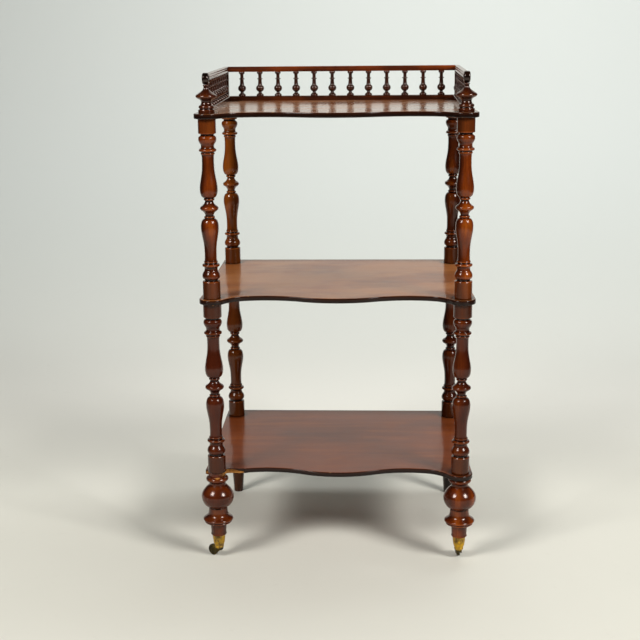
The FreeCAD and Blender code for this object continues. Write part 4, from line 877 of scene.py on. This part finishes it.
for i, name in enumerate(("gallery_back_top_rail", "gallery_back_bottom_rail")):
    paint(name, turned_wood(name + "_wood", (0, GY * MM, 1.1), 81 + i, (1.55, 0.60)[i], fibre="X", cav=False, coat=1.1, sheen=0.24))
k = 0
for side, sgn in SIDES:
    for kind in ("top", "bottom"):
        k += 1
        nm = "gallery_side_%s_rail_%s" % (kind, side)
        paint(nm, turned_wood(nm + "_wood", (GX * sgn * MM, 0, 1.1), 90 + k, 0.5 if kind == "top" else 0.35,
                              fibre="Y", cav=False, coat=1.1))
    paint("corner_stile_" + side, turned_wood("corner_stile_%s_wood" % side, (GX * sgn * MM, GY * MM, 1.0), 97 + k, 0.22, cav=False))
    for j, nm in enumerate(("caster_cup", "caster_fork", "caster_wheel", "caster_axle", "pintle_washer", "cup_screw")):
        paint("%s_%s" % (nm, side), aged_brass("%s_%s_brass" % (nm, side), 120 + j + 10 * k,
                                             0.10 if nm == "caster_wheel" else 0.0,
                                             0.95 if nm in ("caster_wheel", "caster_fork", "caster_axle") else 0.0))
paint("rear_top_dowels", bare_beech("dowel_beech"))
paint("gallery_screws", plain_steel("screw_steel"))

# ------------------------------------------------------------------ stage
def stage_mesh():
    prof = [(-7.0, 0.0)]
    y0, rad = 1.6, 2.4
    for k in range(0, 41):
        prof.append((-6.0 + (y0 + 6.0) * k / 40, 0.0))
    for k in range(1, 25):
        a = math.pi / 2 * k / 24
        prof.append((y0 + rad * math.sin(a), rad * (1 - math.cos(a))))
    for k in range(1, 9):
        prof.append((y0 + rad, rad + 5.0 * k / 8))
    xs = [-2.6 + 5.2 * k / 28 for k in range(29)]
    v = [(x, y, z) for y, z in prof for x in xs]
    w = len(xs)
    f = [(i * w + j, i * w + j + 1, (i + 1) * w + j + 1, (i + 1) * w + j)
         for i in range(len(prof) - 1) for j in range(w - 1)]
    me = bpy.data.meshes.new("floor")
    me.from_pydata(v, [], f)
    me.polygons.foreach_set("use_smooth", [True] * len(me.polygons))
    ob = bpy.data.objects.new("floor", me)
    SCENE.collection.objects.link(ob)
    g = Net("floor_paint")
    p = g.pos()
    cloud = g.noise(g.mapping(p, scale=(2.2, 2.2, 2.2)), 1.0, 5.0, 0.6)
    speck = g.noise(g.mapping(p, scale=(40, 40, 40)), 1.0, 4.0, 0.6)
    z = g.split(p)[2]
    yy = g.split(p)[1]
    wall = g.step(yy, 0.6, 3.2)
    floor_c = g.mix(cloud, (0.716, 0.706, 0.638), (0.755, 0.745, 0.676))
    # darker near the front and paler towards the back: painted light, evening out the falloff of the lamps over the
    # floor
    floor_c = g.mix(g.step(yy, -0.35, 0.75), g.mix(cloud, (0.640, 0.634, 0.572), (0.680, 0.674, 0.608)), floor_c)
    floor_c = g.mix(g.step(yy, 0.1, 1.2), floor_c, (0.800, 0.785, 0.730))
    floor_c = g.mix(g.math("MULTIPLY", g.step(speck, 0.62, 0.75), 0.10), floor_c, (0.45, 0.42, 0.36))
    wall_c = g.mix(g.step(yy, 2.2, 3.4), (0.655, 0.680, 0.650), (0.705, 0.733, 0.710))
    col = g.mix(wall, floor_c, wall_c)
    me.materials.append(g.surface(col, 0.75, None, Specular_IOR_Level=0.25))
    return ob


stage_mesh()


def area(name, at, to, size, power, color=(1, 1, 1), size_y=None, glossy=True):
    d = bpy.data.lights.new(name, "AREA")
    d.shape = "RECTANGLE"
    d.size = size
    d.size_y = size_y or size
    d.energy = power
    d.color = color
    ob = bpy.data.objects.new(name, d)
    at, to = Vector(at), Vector(to)
    ob.matrix_world = Matrix.Translation(at) @ (to - at).to_track_quat("-Z", "Y").to_matrix().to_4x4()
    ob.visible_glossy = glossy
    SCENE.collection.objects.link(ob)
    return ob


area("key_left", (-2.37, -2.45, 3.00), (0.0, 0.0, 0.35), 1.2, 118.0, (1.0, 0.975, 0.94))
area("key_right", (2.75, -2.38, 2.89), (0.0, 0.0, 0.35), 1.2, 156.0, (1.0, 0.975, 0.94))
area("wall_wash", (1.0, 1.2, 4.2), (0.6, 4.0, 1.8), 2.4, 100.0, (0.97, 1.0, 1.0), glossy=False)

world = bpy.data.worlds.new("studio")
SCENE.world = world
world.use_nodes = True
bg = world.node_tree.nodes["Background"]
bg.inputs[0].default_value = (0.93, 0.93, 0.78, 1.0)
bg.inputs[1].default_value = 0.05
